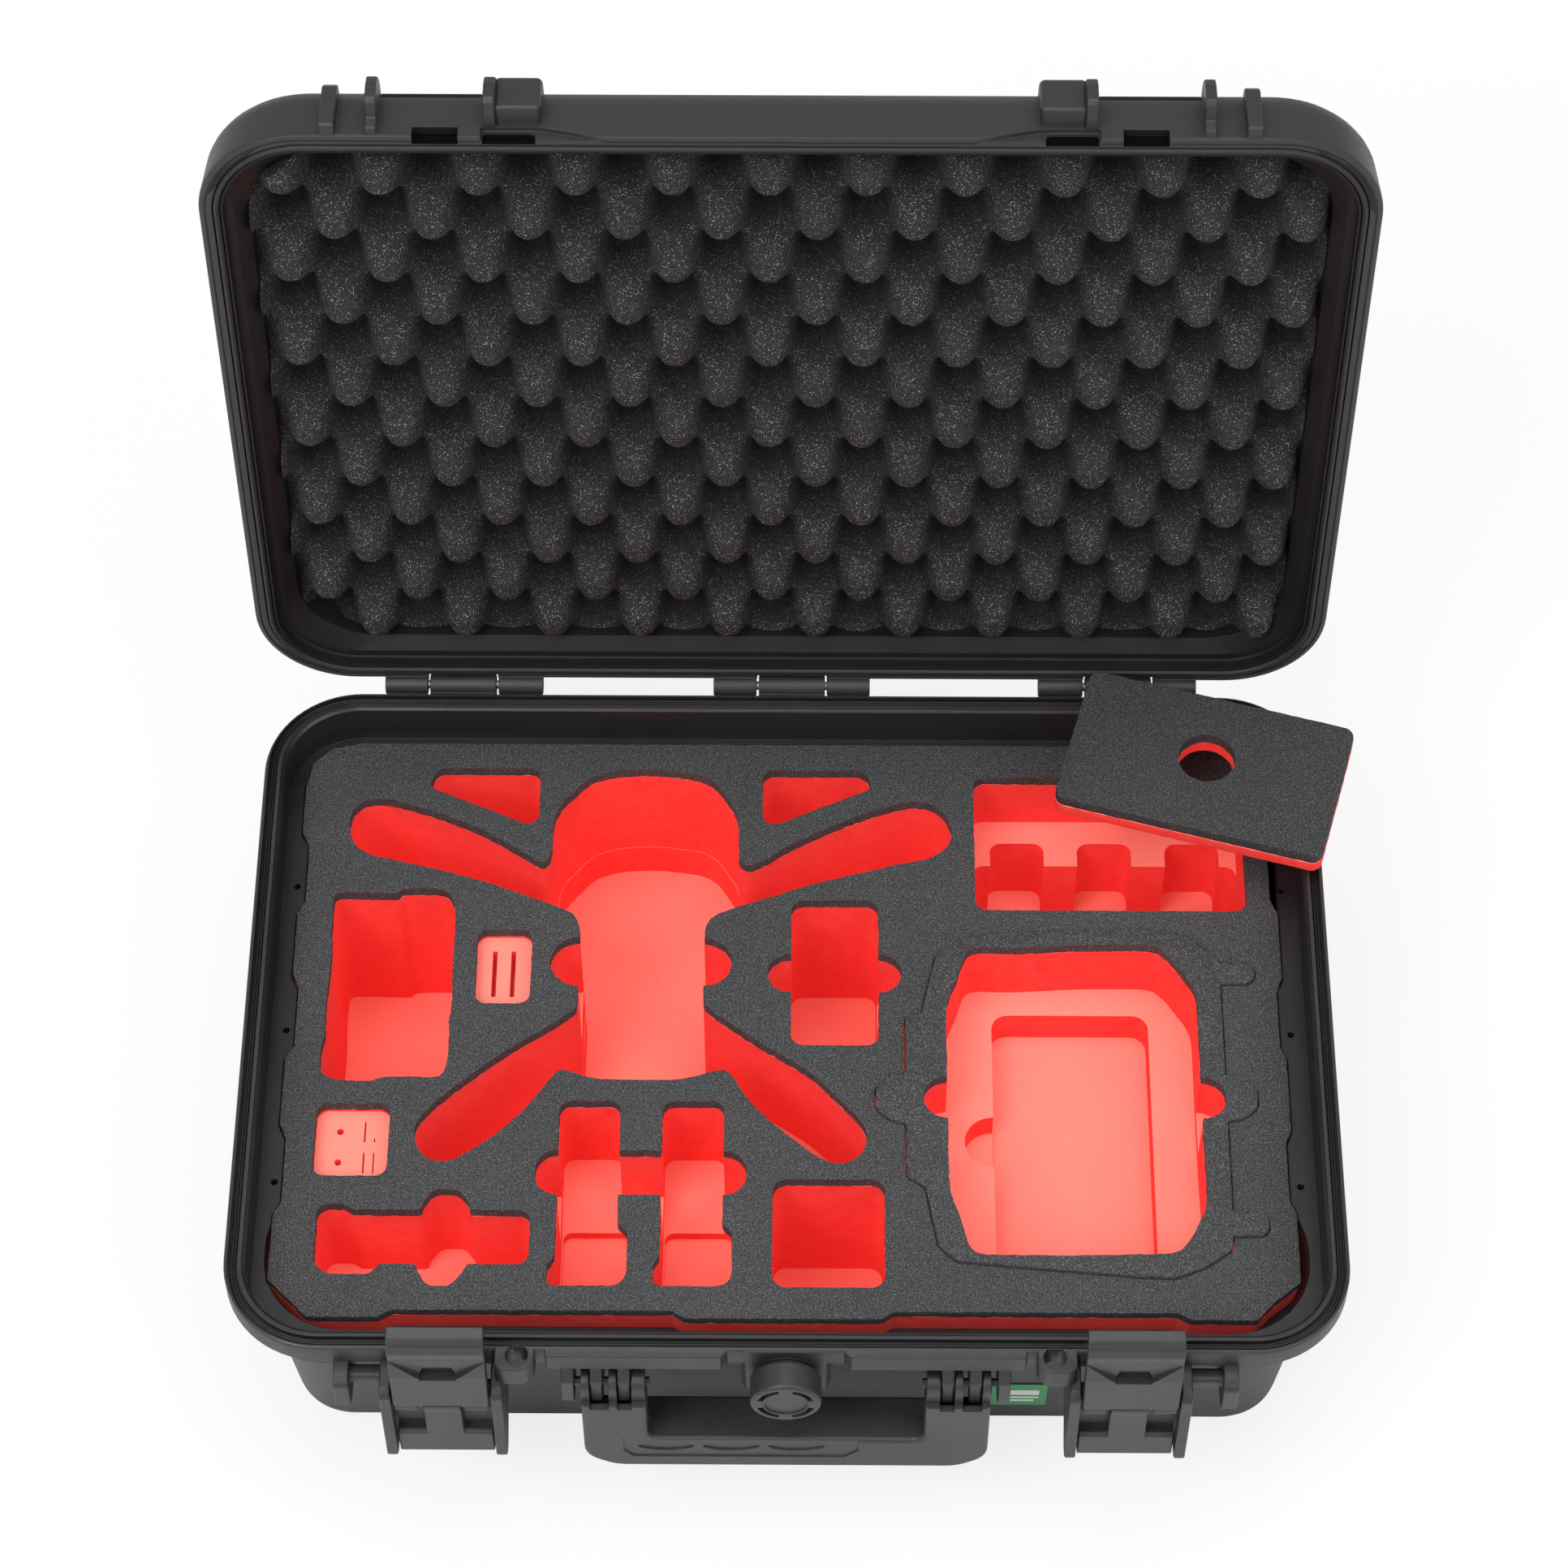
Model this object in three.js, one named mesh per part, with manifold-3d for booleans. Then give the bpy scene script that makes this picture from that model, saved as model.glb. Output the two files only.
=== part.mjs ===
// Carrying case with a fitted foam insert: drafted base tub and hinged lid, two draw latches,
// drop handle, pressure valve, two-layer foam with shaped pockets, lift-out controller insert,
// loose cover plate and convoluted lid foam.
// Millimetres. Origin: centre of the base's bottom face, +X right, +Y towards the hinges, +Z up.
// The lid stands open at LID_OPEN about its hinge axis; its pieces are drawn closed, then turned.
import * as THREE from "three";
import { mergeVertices } from "three/addons/utils/BufferGeometryUtils.js";
import Module from "manifold-3d";

const wasm = await Module();
wasm.setup();
const { degToRad, clamp } = THREE.MathUtils;

// ---------- shared dimensions ----------
// In sizes of rounded rectangles about the Z axis, x and y are half sizes.
const RIM_Z = 131; // rim plane of the base
const FOAM_TOP = 111;
const LATCH_X = 139.4; // latch centre, on both sides
const LID_BOTTOM = RIM_Z + 0.4;
const LID_OPEN = 93.8; // degrees
const PIN_RADIUS = 1.9;
const PIN_HOLE_RADIUS = 2.3;
const KNUCKLE = { radius: 4.6, halfLength: 14.6 };
const BASE_KNUCKLES = [-144.6, 0.6, 144.6]; // centres along X

// axes along X
const HINGE_AXIS = { y: 167.3, z: RIM_Z - 0.8 };
const LEVER_AXIS = { y: -166, z: RIM_Z - 27 };
const LINK_AXIS = { y: -173.6, z: RIM_Z - 24 };
const HANDLE_AXIS = { y: -164, z: RIM_Z - 23 };
// axis along Y
const VALVE_AXIS = { x: 0, z: RIM_Z - 17 };

// ---------- outlines ----------
const toVectors = (points) => points.map(([x, y]) => new THREE.Vector2(x, y));

// rounded rectangle as a list of points, counter-clockwise
const roundRect = (left, right, front, back, radius, segments = 6) => {
  const points = [];
  for (const [x, y, startAngle] of [
    [right - radius, back - radius, 0],
    [left + radius, back - radius, 90],
    [left + radius, front + radius, 180],
    [right - radius, front + radius, 270],
  ])
    for (let k = 0; k <= segments; k++) {
      const angle = degToRad(startAngle + (90 * k) / segments);
      points.push([x + radius * Math.cos(angle), y + radius * Math.sin(angle)]);
    }
  return points;
};

// rounded rectangle about the origin, its sides moved out by grow
const centred = ({ x, y, radius }, grow = 0, radiusGrow = 0, segments = 6) =>
  roundRect(-x - grow, x + grow, -y - grow, y + grow, radius + radiusGrow, segments);

const ellipse = (x, y, radiusX, radiusY = radiusX, segments = 20) =>
  Array.from({ length: segments }, (_, k) => {
    const angle = (2 * Math.PI * k) / segments;
    return [x + radiusX * Math.cos(angle), y + radiusY * Math.sin(angle)];
  });

// counter-clockwise polygon with a radius at each corner: [[x, y, radius], ...]
const rounded = (corners, segments) => {
  const vectors = toVectors(corners);
  const points = corners.flatMap(([x, y, radius], i) => {
    const corner = vectors[i];
    const toPrevious = vectors.at(i - 1).clone().sub(corner);
    const toNext = vectors[(i + 1) % vectors.length].clone().sub(corner);
    const maxSetback = Math.min(toPrevious.length(), toNext.length()) * 0.49;
    toPrevious.normalize();
    toNext.normalize();
    const halfAngle = Math.acos(clamp(toPrevious.dot(toNext), -1, 1)) / 2;
    // a nearly straight corner stays sharp
    if (radius <= 0 || halfAngle > 1.53) return [[x, y]];
    const setback = Math.min(radius / Math.tan(halfAngle), maxSetback);
    const arcRadius = setback * Math.tan(halfAngle);
    const centre = toPrevious.clone().add(toNext).normalize();
    centre.multiplyScalar(arcRadius / Math.sin(halfAngle)).add(corner);
    const angleTo = (direction) =>
      direction.clone().multiplyScalar(setback).add(corner).sub(centre).angle();
    const start = angleTo(toPrevious);
    let sweep = angleTo(toNext) - start;
    if (sweep > Math.PI) sweep -= 2 * Math.PI;
    if (sweep < -Math.PI) sweep += 2 * Math.PI;
    return Array.from({ length: segments + 1 }, (_, k) => {
      const angle = start + (sweep * k) / segments;
      return [centre.x + arcRadius * Math.cos(angle), centre.y + arcRadius * Math.sin(angle)];
    });
  });
  return THREE.ShapeUtils.area(toVectors(points)) < 0 ? points.reverse() : points;
};

// outline moved outwards along its vertex normals; the reach at sharp corners is limited
const grown = (points, distance) =>
  points.map(([x, y], i) => {
    const previous = points.at(i - 1);
    const next = points[(i + 1) % points.length];
    const normal = new THREE.Vector2(y - previous[1], previous[0] - x).normalize();
    normal.add(new THREE.Vector2(next[1] - y, x - next[0]).normalize());
    const reach = Math.min(distance / Math.max(0.35, normal.length() / 2), 2.5 * distance);
    normal.normalize();
    return [x + normal.x * reach, y + normal.y * reach];
  });

// ---------- solids ----------
const solid = (geometry) => {
  geometry.deleteAttribute("normal");
  geometry.deleteAttribute("uv");
  const merged = mergeVertices(geometry, 1e-4);
  return new wasm.Manifold(
    new wasm.Mesh({
      numProp: 3,
      vertProperties: new Float32Array(merged.attributes.position.array),
      triVerts: new Uint32Array(merged.index.array),
    }),
  );
};
const unite = (...solids) => solids.reduce((sum, part) => sum.add(part));
// tools overshoot the faces they open
const cut = (body, ...tools) => tools.reduce((rest, tool) => rest.subtract(tool), body);

const extruded = (points, depth) =>
  new THREE.ExtrudeGeometry(new THREE.Shape(toVectors(points)), {
    depth,
    bevelEnabled: false,
    steps: 1,
  });

// straight prism between two heights
const prism = (points, bottom, top) =>
  solid(extruded(points, top - bottom).translate(0, 0, bottom));

// [y, z] profile extruded along X
const profileX = (points, left, right) => {
  const place = new THREE.Matrix4().set(0, 0, 1, left, 1, 0, 0, 0, 0, 1, 0, 0, 0, 0, 0, 1);
  return solid(extruded(points, right - left).applyMatrix4(place));
};
// [x, z] profile extruded along Y
const profileY = (points, front, back) => {
  const place = new THREE.Matrix4().set(1, 0, 0, 0, 0, 0, -1, back, 0, 1, 0, 0, 0, 0, 0, 1);
  return solid(extruded(points, back - front).applyMatrix4(place));
};

// closed skin through rings of equal point count: [{ points, z }]
const loft = (rings) => {
  const count = rings[0].points.length;
  const lastStart = (rings.length - 1) * count;
  const positions = rings.flatMap(({ points, z }) => points.flatMap(([x, y]) => [x, y, z]));
  const index = [];
  for (let start = 0; start < lastStart; start += count)
    for (let k = 0; k < count; k++) {
      const here = start + k;
      const next = start + ((k + 1) % count);
      index.push(here, next, next + count, here, next + count, here + count);
    }
  const cap = (points, start, facesUp) => {
    for (const triangle of THREE.ShapeUtils.triangulateShape(toVectors(points), [])) {
      const [first, second, third] = triangle.map((k) => start + k);
      if (facesUp) index.push(first, second, third);
      else index.push(first, third, second);
    }
  };
  cap(rings[0].points, 0, false);
  cap(rings.at(-1).points, lastStart, true);
  const geometry = new THREE.BufferGeometry();
  geometry.setAttribute("position", new THREE.Float32BufferAttribute(positions, 3));
  geometry.setIndex(index);
  return solid(geometry);
};

const box = (left, right, front, back, bottom, top) => {
  const geometry = new THREE.BoxGeometry(right - left, back - front, top - bottom);
  geometry.translate((left + right) / 2, (front + back) / 2, (bottom + top) / 2);
  return solid(geometry);
};

// cylinders along X, Y and Z
const cylinder = (radius, length, segments) =>
  new THREE.CylinderGeometry(radius, radius, length, segments, 1);
const rodX = (left, right, { y, z }, radius, segments) => {
  const rod = cylinder(radius, right - left, segments).rotateZ(Math.PI / 2);
  return solid(rod.translate((left + right) / 2, y, z));
};
const rodY = (front, back, { x, z }, radius, segments) =>
  solid(cylinder(radius, back - front, segments).translate(x, (front + back) / 2, z));
const rodZ = (bottom, top, x, y, radius, segments) => {
  const rod = cylinder(radius, top - bottom, segments).rotateX(Math.PI / 2);
  return solid(rod.translate(x, y, (bottom + top) / 2));
};
const pin = (left, right, axis) => rodX(left, right, axis, PIN_RADIUS, 14);
const pinHole = (left, right, axis) => rodX(left, right, axis, PIN_HOLE_RADIUS, 14);

// band of constant width round a centred rounded rectangle, which is its inner edge
const band = (inner, width, bottom, top) =>
  prism(centred(inner, width, width), bottom, top).subtract(
    prism(centred(inner), bottom - 1, top + 1),
  );

// an X range given for the right side, moved to the side asked for: 1 right, -1 left
const SIDES = [1, -1];
const span = (side, near, far) => (side > 0 ? [near, far] : [-far, -near]);

// ---------- materials ----------
const material = (name, look) =>
  Object.assign(new THREE.MeshStandardMaterial(look), { name });
const MATERIAL = {
  shell: material("shell_plastic", { color: 0x38383a, roughness: 0.55 }),
  hardware: material("hardware_plastic", { color: 0x3c3c3e, roughness: 0.5 }),
  rubber: material("seal_rubber", { color: 0x161617, roughness: 0.8 }),
  steel: material("pin_steel", { color: 0x8c8c8e, roughness: 0.35, metalness: 0.9 }),
  black: material("black_foam", { color: 0x2c2c2d, roughness: 0.95 }),
  red: material("red_foam", { color: 0xe8332f, roughness: 0.9 }),
  label: material("label_green", { color: 0x2f9a55, roughness: 0.45 }),
};

const addMesh = (parent, name, body, look) => {
  const { vertProperties, triVerts } = body.getMesh();
  const geometry = new THREE.BufferGeometry();
  geometry.setAttribute("position", new THREE.BufferAttribute(vertProperties, 3));
  geometry.setIndex(new THREE.BufferAttribute(triVerts, 1));
  geometry.computeVertexNormals();
  const mesh = new THREE.Mesh(geometry, look);
  mesh.name = name;
  parent.add(mesh);
};

// ---------- foam block outline ----------
// top face with side scallops and front steps: x, y, corner radius
const FOAM = rounded(
  [
    [-189, 149, 0], [-203, 146, 0], [-211, 138, 0], [-213.5, 126, 0], [-213.5, 101, 2],
    [-210, 94, 2], [-210, 65, 2], [-213, 59, 2], [-213, 28, 2], [-210, 21, 2],
    [-210, -8, 2], [-213.5, -14, 2], [-213.5, -46, 2], [-210.5, -53, 2], [-210.5, -83, 2],
    [-213.5, -89, 2], [-213.8, -120, 2], [-205, -128.5, 6], [-197, -137, 2], [-167.5, -137, 3],
    [-162, -133.6, 3], [-47, -133.6, 3], [-41.5, -137, 3], [39, -137, 3], [44, -133.6, 3],
    [160.5, -133.6, 3], [166, -136.6, 3], [193, -136.6, 2], [200, -128.5, 6], [211.6, -119, 2],
    [211.6, -86, 2], [209, -80, 2], [209, -53, 2], [211.4, -47, 2], [211.4, -12, 2],
    [209, -6, 2], [209, 22, 2], [211.6, 28, 2], [211.6, 62, 2], [209, 68, 2],
    [209, 94, 2], [212, 101, 2], [212, 126, 0], [209.5, 138, 0], [201.5, 146, 0],
    [188, 149, 0],
  ],
  1,
);
const FOAM_HALF = { x: 211, y: 142 }; // nominal half sizes, for turning a margin into a scale
// the block tapers with the tub: scale at its bottom, and the Y it is scaled about
const FOAM_BOTTOM = 10;
const TAPER = { scaleX: 0.9625, scaleY: 0.9266, topCentreY: 6, bottomCentreY: 8.5 };

// ring of the foam outline at height z, grown by a margin
const foamRing = (z, margin = 0) => {
  const depth = (FOAM_TOP - z) / (FOAM_TOP - FOAM_BOTTOM);
  const scaleX = (1 + (TAPER.scaleX - 1) * depth) * (1 + margin / FOAM_HALF.x);
  const scaleY = (1 + (TAPER.scaleY - 1) * depth) * (1 + margin / FOAM_HALF.y);
  const centreY = TAPER.topCentreY + (TAPER.bottomCentreY - TAPER.topCentreY) * depth;
  const points = FOAM.map(([x, y]) => [x * scaleX, (y - TAPER.topCentreY) * scaleY + centreY]);
  return { points, z };
};

// ---------- pocket outlines ----------
// corner tables: x, y, corner radius
const TRIANGLE_LEFT = rounded(
  [[-110, 103.5, 5], [-110, 135.5, 5], [-156, 135.5, 6], [-159, 125.4, 3]],
  3,
);
const TRIANGLE_RIGHT = rounded(
  [[-12, 103.5, 5], [36, 125.3, 3], [33.5, 135, 6], [-12, 135, 5]],
  3,
);
// four-armed drone: domed body, two swept arms at the back, two at the front
const DRONE = rounded(
  [
    [-62.9, 135.6, 0], [-78, 134.4, 0], [-89.5, 129.5, 0], [-97.5, 120.5, 0],
    [-102.4, 111, 0], [-103.9, 101, 0], [-103.9, 84, 5], [-111, 86, 5], [-135, 103.5, 20],
    [-160, 114, 20], [-186, 121, 10], [-195, 104, 12], [-186, 89, 10], [-150, 80.7, 10],
    [-98, 62.5, 6], [-90.3, 58, 8], [-90.3, 11, 5], [-104, 2, 10], [-128, -17, 10],
    [-152, -39, 8], [-160, -54, 11], [-146, -68, 11], [-126, -54, 12], [-108, -36, 12],
    [-99.5, -17, 6], [-92, -19, 8], [-82, -23.7, 10], [-44, -23.7, 10], [-34, -19, 8],
    [-26.5, -17, 6], [-17, -34, 12], [2, -52, 12], [21, -68, 11], [37, -52, 11],
    [29, -40, 8], [3, -16, 10], [-22, 2.5, 10], [-36.4, 13, 5], [-36.4, 58, 8],
    [-28, 62, 6], [35, 82, 20], [64, 89, 10], [74, 104, 12], [62, 121, 10],
    [40, 115.5, 20], [10, 102.3, 20], [-14, 85, 5], [-22.2, 82, 5], [-22.2, 101, 0],
    [-23.6, 111, 0], [-28.5, 120.5, 0], [-36.5, 129.5, 0], [-48, 134.4, 0],
  ],
  2,
);
// well under the drone's body, deeper than the arms
const DRONE_BODY = rounded(
  [
    [-62.9, 135.4, 0], [-78, 134.2, 0], [-89.3, 129.3, 0], [-97.3, 120.3, 0],
    [-102.2, 110.8, 0], [-103.7, 101, 0], [-103.7, 66, 10], [-90.2, 56, 10],
    [-90.2, -20.5, 3], [-82, -23.6, 6], [-44, -23.6, 6], [-36.5, -20.5, 3],
    [-36.5, 56, 10], [-22.4, 66, 10], [-22.4, 101, 0], [-23.8, 110.8, 0],
    [-28.7, 120.3, 0], [-36.7, 129.3, 0], [-48, 134.2, 0],
  ],
  2,
);
const CHARGER = rounded(
  [
    [-197.3, 69.4, 6], [-197.5, 45, 8], [-197, 28, 8], [-198.2, -8, 8], [-198.4, -22.5, 5],
    [-188, -24.8, 8], [-177, -25, 8], [-170.5, -23, 4], [-144.6, -23, 6], [-144.3, 20, 8],
    [-144.2, 71.7, 7], [-168.5, 71.7, 3], [-171, 69.4, 3],
  ],
  2,
);
const CROSS = rounded(
  [
    [-195.3, -84.3, 4], [-183, -84.3, 3], [-180, -86.9, 3], [-152, -86.9, 2], [-151.2, -83, 3],
    [-147, -77.4, 4], [-137, -77.4, 4], [-132.4, -83, 3], [-131.6, -86.9, 2],
    [-106.6, -86.9, 5], [-106.6, -112.3, 5], [-131.6, -112.3, 2], [-134, -117, 3],
    [-138.6, -122.6, 5], [-148, -122.6, 5], [-151.6, -116.5, 3], [-152.8, -112.3, 2],
    [-168, -112.3, 2], [-172, -117.2, 4], [-190, -117.2, 8], [-195.3, -112, 6],
  ],
  2,
);
const TWIN_LEFT = rounded(
  [
    [-96, -34.3, 4], [-96, -110, 0], [-98.9, -112.5, 2], [-98.9, -121, 3], [-96, -122.1, 2],
    [-66, -122.1, 6], [-66, -98.5, 4], [-70.3, -94, 0], [-70.3, -34.3, 4],
  ],
  3,
);
const TWIN_RIGHT = rounded(
  [
    [-52.7, -34.3, 4], [-52.7, -110, 0], [-55.3, -112.5, 2], [-55.3, -121, 3],
    [-52.7, -122.1, 2], [-22.6, -122.1, 6], [-22.6, -98.5, 4], [-26.7, -94, 0],
    [-26.7, -34.3, 4],
  ],
  3,
);
const TWIN_BAR = rounded(
  [[-105.4, -58.1, 9], [-105.4, -79.3, 9], [-17, -79.3, 9], [-17, -58.1, 9]],
  4,
);

// pockets open in both foam layers: outline, depth below FOAM_TOP
const OPEN_POCKETS = [
  [TRIANGLE_LEFT, 45],
  [TRIANGLE_RIGHT, 45],
  [DRONE, 62],
  // finger holes at the drone's waist
  [ellipse(-90.3, 35, 12), 45],
  [ellipse(-36.4, 35, 12), 45],
  [CHARGER, 86],
  // shallow recess over the two slits
  [roundRect(-134.4, -110.7, 13.6, 51, 5, 3), 6.6],
  // shallow card recess over two round holes
  [roundRect(-198.4, -167.3, -70.9, -36, 5, 3), 6.9],
  [CROSS, 52],
  [TWIN_LEFT, 50.2],
  [TWIN_RIGHT, 50.2],
  [TWIN_BAR, 40],
  // squarish pocket at the front
  [roundRect(-6.1, 40.7, -122.4, -71.7, 6, 3), 77.6],
  // middle pocket and its side scoops
  [roundRect(1, 38.6, -6.4, 66.7, 5.5, 3), 80.4],
  [ellipse(1, 29.6, 10, 9.7, 16), 42],
  [ellipse(38.6, 29.6, 10, 9.7, 16), 42],
  // battery bay
  [roundRect(80.7, 198.3, 62.1, 131.7, 5.5, 3), 35.2],
];
// deeper steps inside those pockets, red layer only: outline, depth below FOAM_TOP
const BATTERY_DEPTH = 73.9;
const DEEP_POCKETS = [
  [DRONE_BODY, 81.5],
  [roundRect(80.7, 198.3, 62.1, 108.1, 5.5, 3), BATTERY_DEPTH],
  ...[101, 139.8, 178.8].map((x) => [roundRect(x - 12, x + 12, 100, 120.1, 5, 3), BATTERY_DEPTH]),
  [roundRect(-95.4, -66.6, -121.6, -70, 4, 2), 55],
  [roundRect(-52.1, -23.2, -121.6, -70, 4, 2), 55],
];

// lift-out controller insert: x, y, corner radius
const INSERT_OUTLINE = rounded(
  [
    [63, 38, 4], [74, 47.5, 8], [97, 50.2, 10], [157, 52, 12], [172, 48.5, 12],
    [182, 38.5, 4], [186, 35.2, 2], [199.7, 35.2, 5], [199.7, 24.5, 5], [184.9, 24.5, 0],
    [184.9, -20.6, 0], [191, -22, 3], [197.9, -27, 5], [197.9, -37, 5], [191, -42.3, 3],
    [184.9, -43.3, 0], [184.9, -86.1, 0], [199.7, -86.1, 5], [199.7, -98.2, 5],
    [184.8, -98.2, 0], [183.5, -105, 4], [172, -113, 8], [160, -117.9, 8], [145, -117.3, 8],
    [70, -110.6, 8], [62.5, -103, 4], [57.5, -75.5, 3], [49.7, -70.5, 3], [49.7, -45.3, 0],
    [43.5, -43.6, 3], [36.9, -38, 5], [36.9, -28, 5], [43.5, -21.4, 3], [49.7, -20.2, 0],
    [49.7, 7.8, 3], [56.5, 9, 3],
  ],
  2,
);
const CONTROLLER = rounded(
  [
    [76.5, 41.5, 5], [160, 43.6, 7], [174.5, 18, 8], [174.7, -84, 8], [161, -107.7, 8],
    [76, -107.7, 5], [67.6, -78, 6], [67.4, 12, 8],
  ],
  3,
);
const CONTROLLER_LOW = rounded(
  [[88, 29.9, 6], [156, 29.9, 6], [156, -107.7, 0], [88, -107.7, 0]],
  3,
);
// outline, depth below the insert's top
const CONTROLLER_POCKETS = [
  [CONTROLLER, 36.5],
  // finger scoops, left and right
  [ellipse(67.5, -32.6, 10.3, 10.1), 30],
  [ellipse(174.5, -32.4, 10.2, 10.1), 30],
];
const CONTROLLER_DEEP_POCKETS = [
  [CONTROLLER_LOW, 54.5],
  [ellipse(88, -33.4, 12), 50],
];

// ---------- base shell ----------
const RIM_WIDTH = 9;
const FLANGE = { x: 229.5, y: 162, radius: 41, height: 12 }; // round the base rim
const OPENING = {
  x: FLANGE.x - RIM_WIDTH,
  y: FLANGE.y - RIM_WIDTH,
  radius: FLANGE.radius - RIM_WIDTH,
};
const LEDGE_Z = RIM_Z - 22; // foam ledge
const FLOOR_Z = 9;
const CAVITY_MARGIN = 0.7; // round the foam block
const BODY_LOW = { x: 211, front: -129, back: 146, radius: 25, fillet: 11 };
const BODY_TOP = { x: 219, front: -143.5, back: 152.5, radius: 36, z: 102.5 };
const COLLAR = { x: 224, y: 156.5, radius: 36, bottom: 108, top: 120 };
const GROOVE = { x: 223.8, y: 156.4, radius: 34.2, width: 4, depth: 3 }; // inner edge
const EAR = { near: 20.2, far: 24.8, y: -177, bottom: RIM_Z - 68, top: RIM_Z - 12 };
const VALVE_BOSS = rounded([[-17.5, -140, 0], [-17.5, -162.4, 2], [17.5, -162.4, 2], [17.5, -140, 0]], 2);
const FILLET_ANGLES = [0, 22.5, 45, 67.5, 90].map(degToRad);

// side profiles: y, z
const EAR_PROFILE = [
  [-140, EAR.top + 1], [-140, EAR.bottom + 24], [-168, EAR.bottom], [EAR.y + 3, EAR.bottom],
  [EAR.y, EAR.bottom + 3], [EAR.y, EAR.top - 1], [EAR.y + 1, EAR.top], [-161, EAR.top + 1],
];
const OUTER_LUG = [
  [-140, 118.9], [-140, 92], [-169, 97], [-171.5, 99.5], [-171.5, 116], [-163, 119.5],
];
const HANDLE_LUG = [
  [-139.5, 118.9], [-139.5, 90], [-164, 95], [-168, 99], [-168, 114], [-161, 119.5],
];
const HANDLE_LUG_SPANS = [[86, 91.2], [74.4, 79.4], [63.2, 68.2]]; // along X
const KNUCKLE_WEB = [
  [159, 120.5], [166.6, 125.6], [HINGE_AXIS.y + 1, 126.2], [HINGE_AXIS.y + 1, HINGE_AXIS.z],
  [HINGE_AXIS.y - 2, HINGE_AXIS.z], [159, 130.6],
];

// drafted tub with a filleted bottom edge and a collar
const tub = () => {
  const { x, front, back, radius, fillet } = BODY_LOW;
  const filletRings = FILLET_ANGLES.map((angle) => {
    const inset = fillet * (1 - Math.sin(angle));
    return {
      points: roundRect(
        -x + inset, x - inset, front + inset, back - inset, radius - inset * 0.4,
      ),
      z: fillet * (1 - Math.cos(angle)),
    };
  });
  const { x: topX, front: topFront, back: topBack, radius: topRadius, z } = BODY_TOP;
  return loft([
    ...filletRings,
    { points: roundRect(-topX, topX, topFront, topBack, topRadius), z },
    { points: centred(COLLAR), z: COLLAR.bottom },
    { points: centred(COLLAR), z: COLLAR.top },
  ]);
};

const flange = () => {
  const bottom = RIM_Z - FLANGE.height;
  return loft([
    { points: centred(FLANGE, -0.8), z: bottom },
    { points: centred(FLANGE), z: bottom + 2 },
    { points: centred(FLANGE), z: RIM_Z },
  ]);
};

// latch ears, lugs and padlock tab on one half of the front
const frontFittings = (side) => {
  const ears = SIDES.map((earSide) => {
    const [left, right] = span(earSide, EAR.near, EAR.far);
    return profileX(EAR_PROFILE, side * LATCH_X + left, side * LATCH_X + right);
  });
  const padlockTab = rounded(
    [
      [side * 117, -158, 0], [side * 117, -170.5, 3],
      [side * 101.5, -170.5, 4], [side * 101.5, -158, 0],
    ],
    3,
  );
  return [
    ...ears,
    profileX(OUTER_LUG, ...span(side, 176.8, 183.3)),
    box(...span(side, 162, 178), -166, -158, 109, 115),
    ...HANDLE_LUG_SPANS.map((range) => profileX(HANDLE_LUG, ...span(side, ...range))),
    prism(padlockTab, 118.5, RIM_Z),
  ];
};

const frontHoles = (side) => [
  ...SIDES.map((earSide) => {
    const [left, right] = span(earSide, 19, 26);
    return pinHole(side * LATCH_X + left, side * LATCH_X + right, LEVER_AXIS);
  }),
  pinHole(...span(side, 56, 93), HANDLE_AXIS),
  rodZ(110, RIM_Z + 3, side * 108.3, -164.2, 4.65, 18), // padlock hole
];

const baseKnuckle = (x) => {
  const range = [x - KNUCKLE.halfLength, x + KNUCKLE.halfLength];
  return [rodX(...range, HINGE_AXIS, KNUCKLE.radius, 20), profileX(KNUCKLE_WEB, ...range)];
};

const baseShell = () =>
  cut(
    unite(
      tub(),
      flange(),
      ...SIDES.flatMap(frontFittings),
      box(-98, 98, -162, -150, 116, 120), // front rim rail
      prism(VALVE_BOSS, 97, RIM_Z - 0.6),
      ...BASE_KNUCKLES.flatMap(baseKnuckle),
    ),
    prism(centred(OPENING), LEDGE_Z, RIM_Z + 5),
    loft([foamRing(FLOOR_Z, CAVITY_MARGIN), foamRing(LEDGE_Z + 1, CAVITY_MARGIN)]),
    // clear strip in front of the foam
    loft([
      { points: roundRect(-212.5, 212.5, -139, -70, 33, 5), z: 94 },
      { points: roundRect(-216, 216, -142.2, -70, 34, 5), z: LEDGE_Z + 1 },
    ]),
    band(GROOVE, GROOVE.width, RIM_Z - GROOVE.depth, RIM_Z + 5),
    rodY(-170, -151, VALVE_AXIS, 8.3, 20),
    ...SIDES.flatMap(frontHoles),
    ...BASE_KNUCKLES.map((x) => pinHole(x - 20, x + 20, HINGE_AXIS)),
  );

// ---------- base foam ----------
const BLACK_THICKNESS = 5.5;
const GLUE_GAP = 0.02; // between laminated layers
const BLACK_Z = FOAM_TOP - BLACK_THICKNESS; // underside of the black layer
// clearances are beside and under the insert; it stands proud of the main foam
const INSERT = { height: 62, proud: 1.8, sideClearance: 0.4, floorClearance: 0.3 };
const INSERT_BOTTOM = FOAM_TOP - INSERT.height;

const insertWell = (bottom) =>
  prism(grown(INSERT_OUTLINE, INSERT.sideClearance), bottom, RIM_Z);

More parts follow.
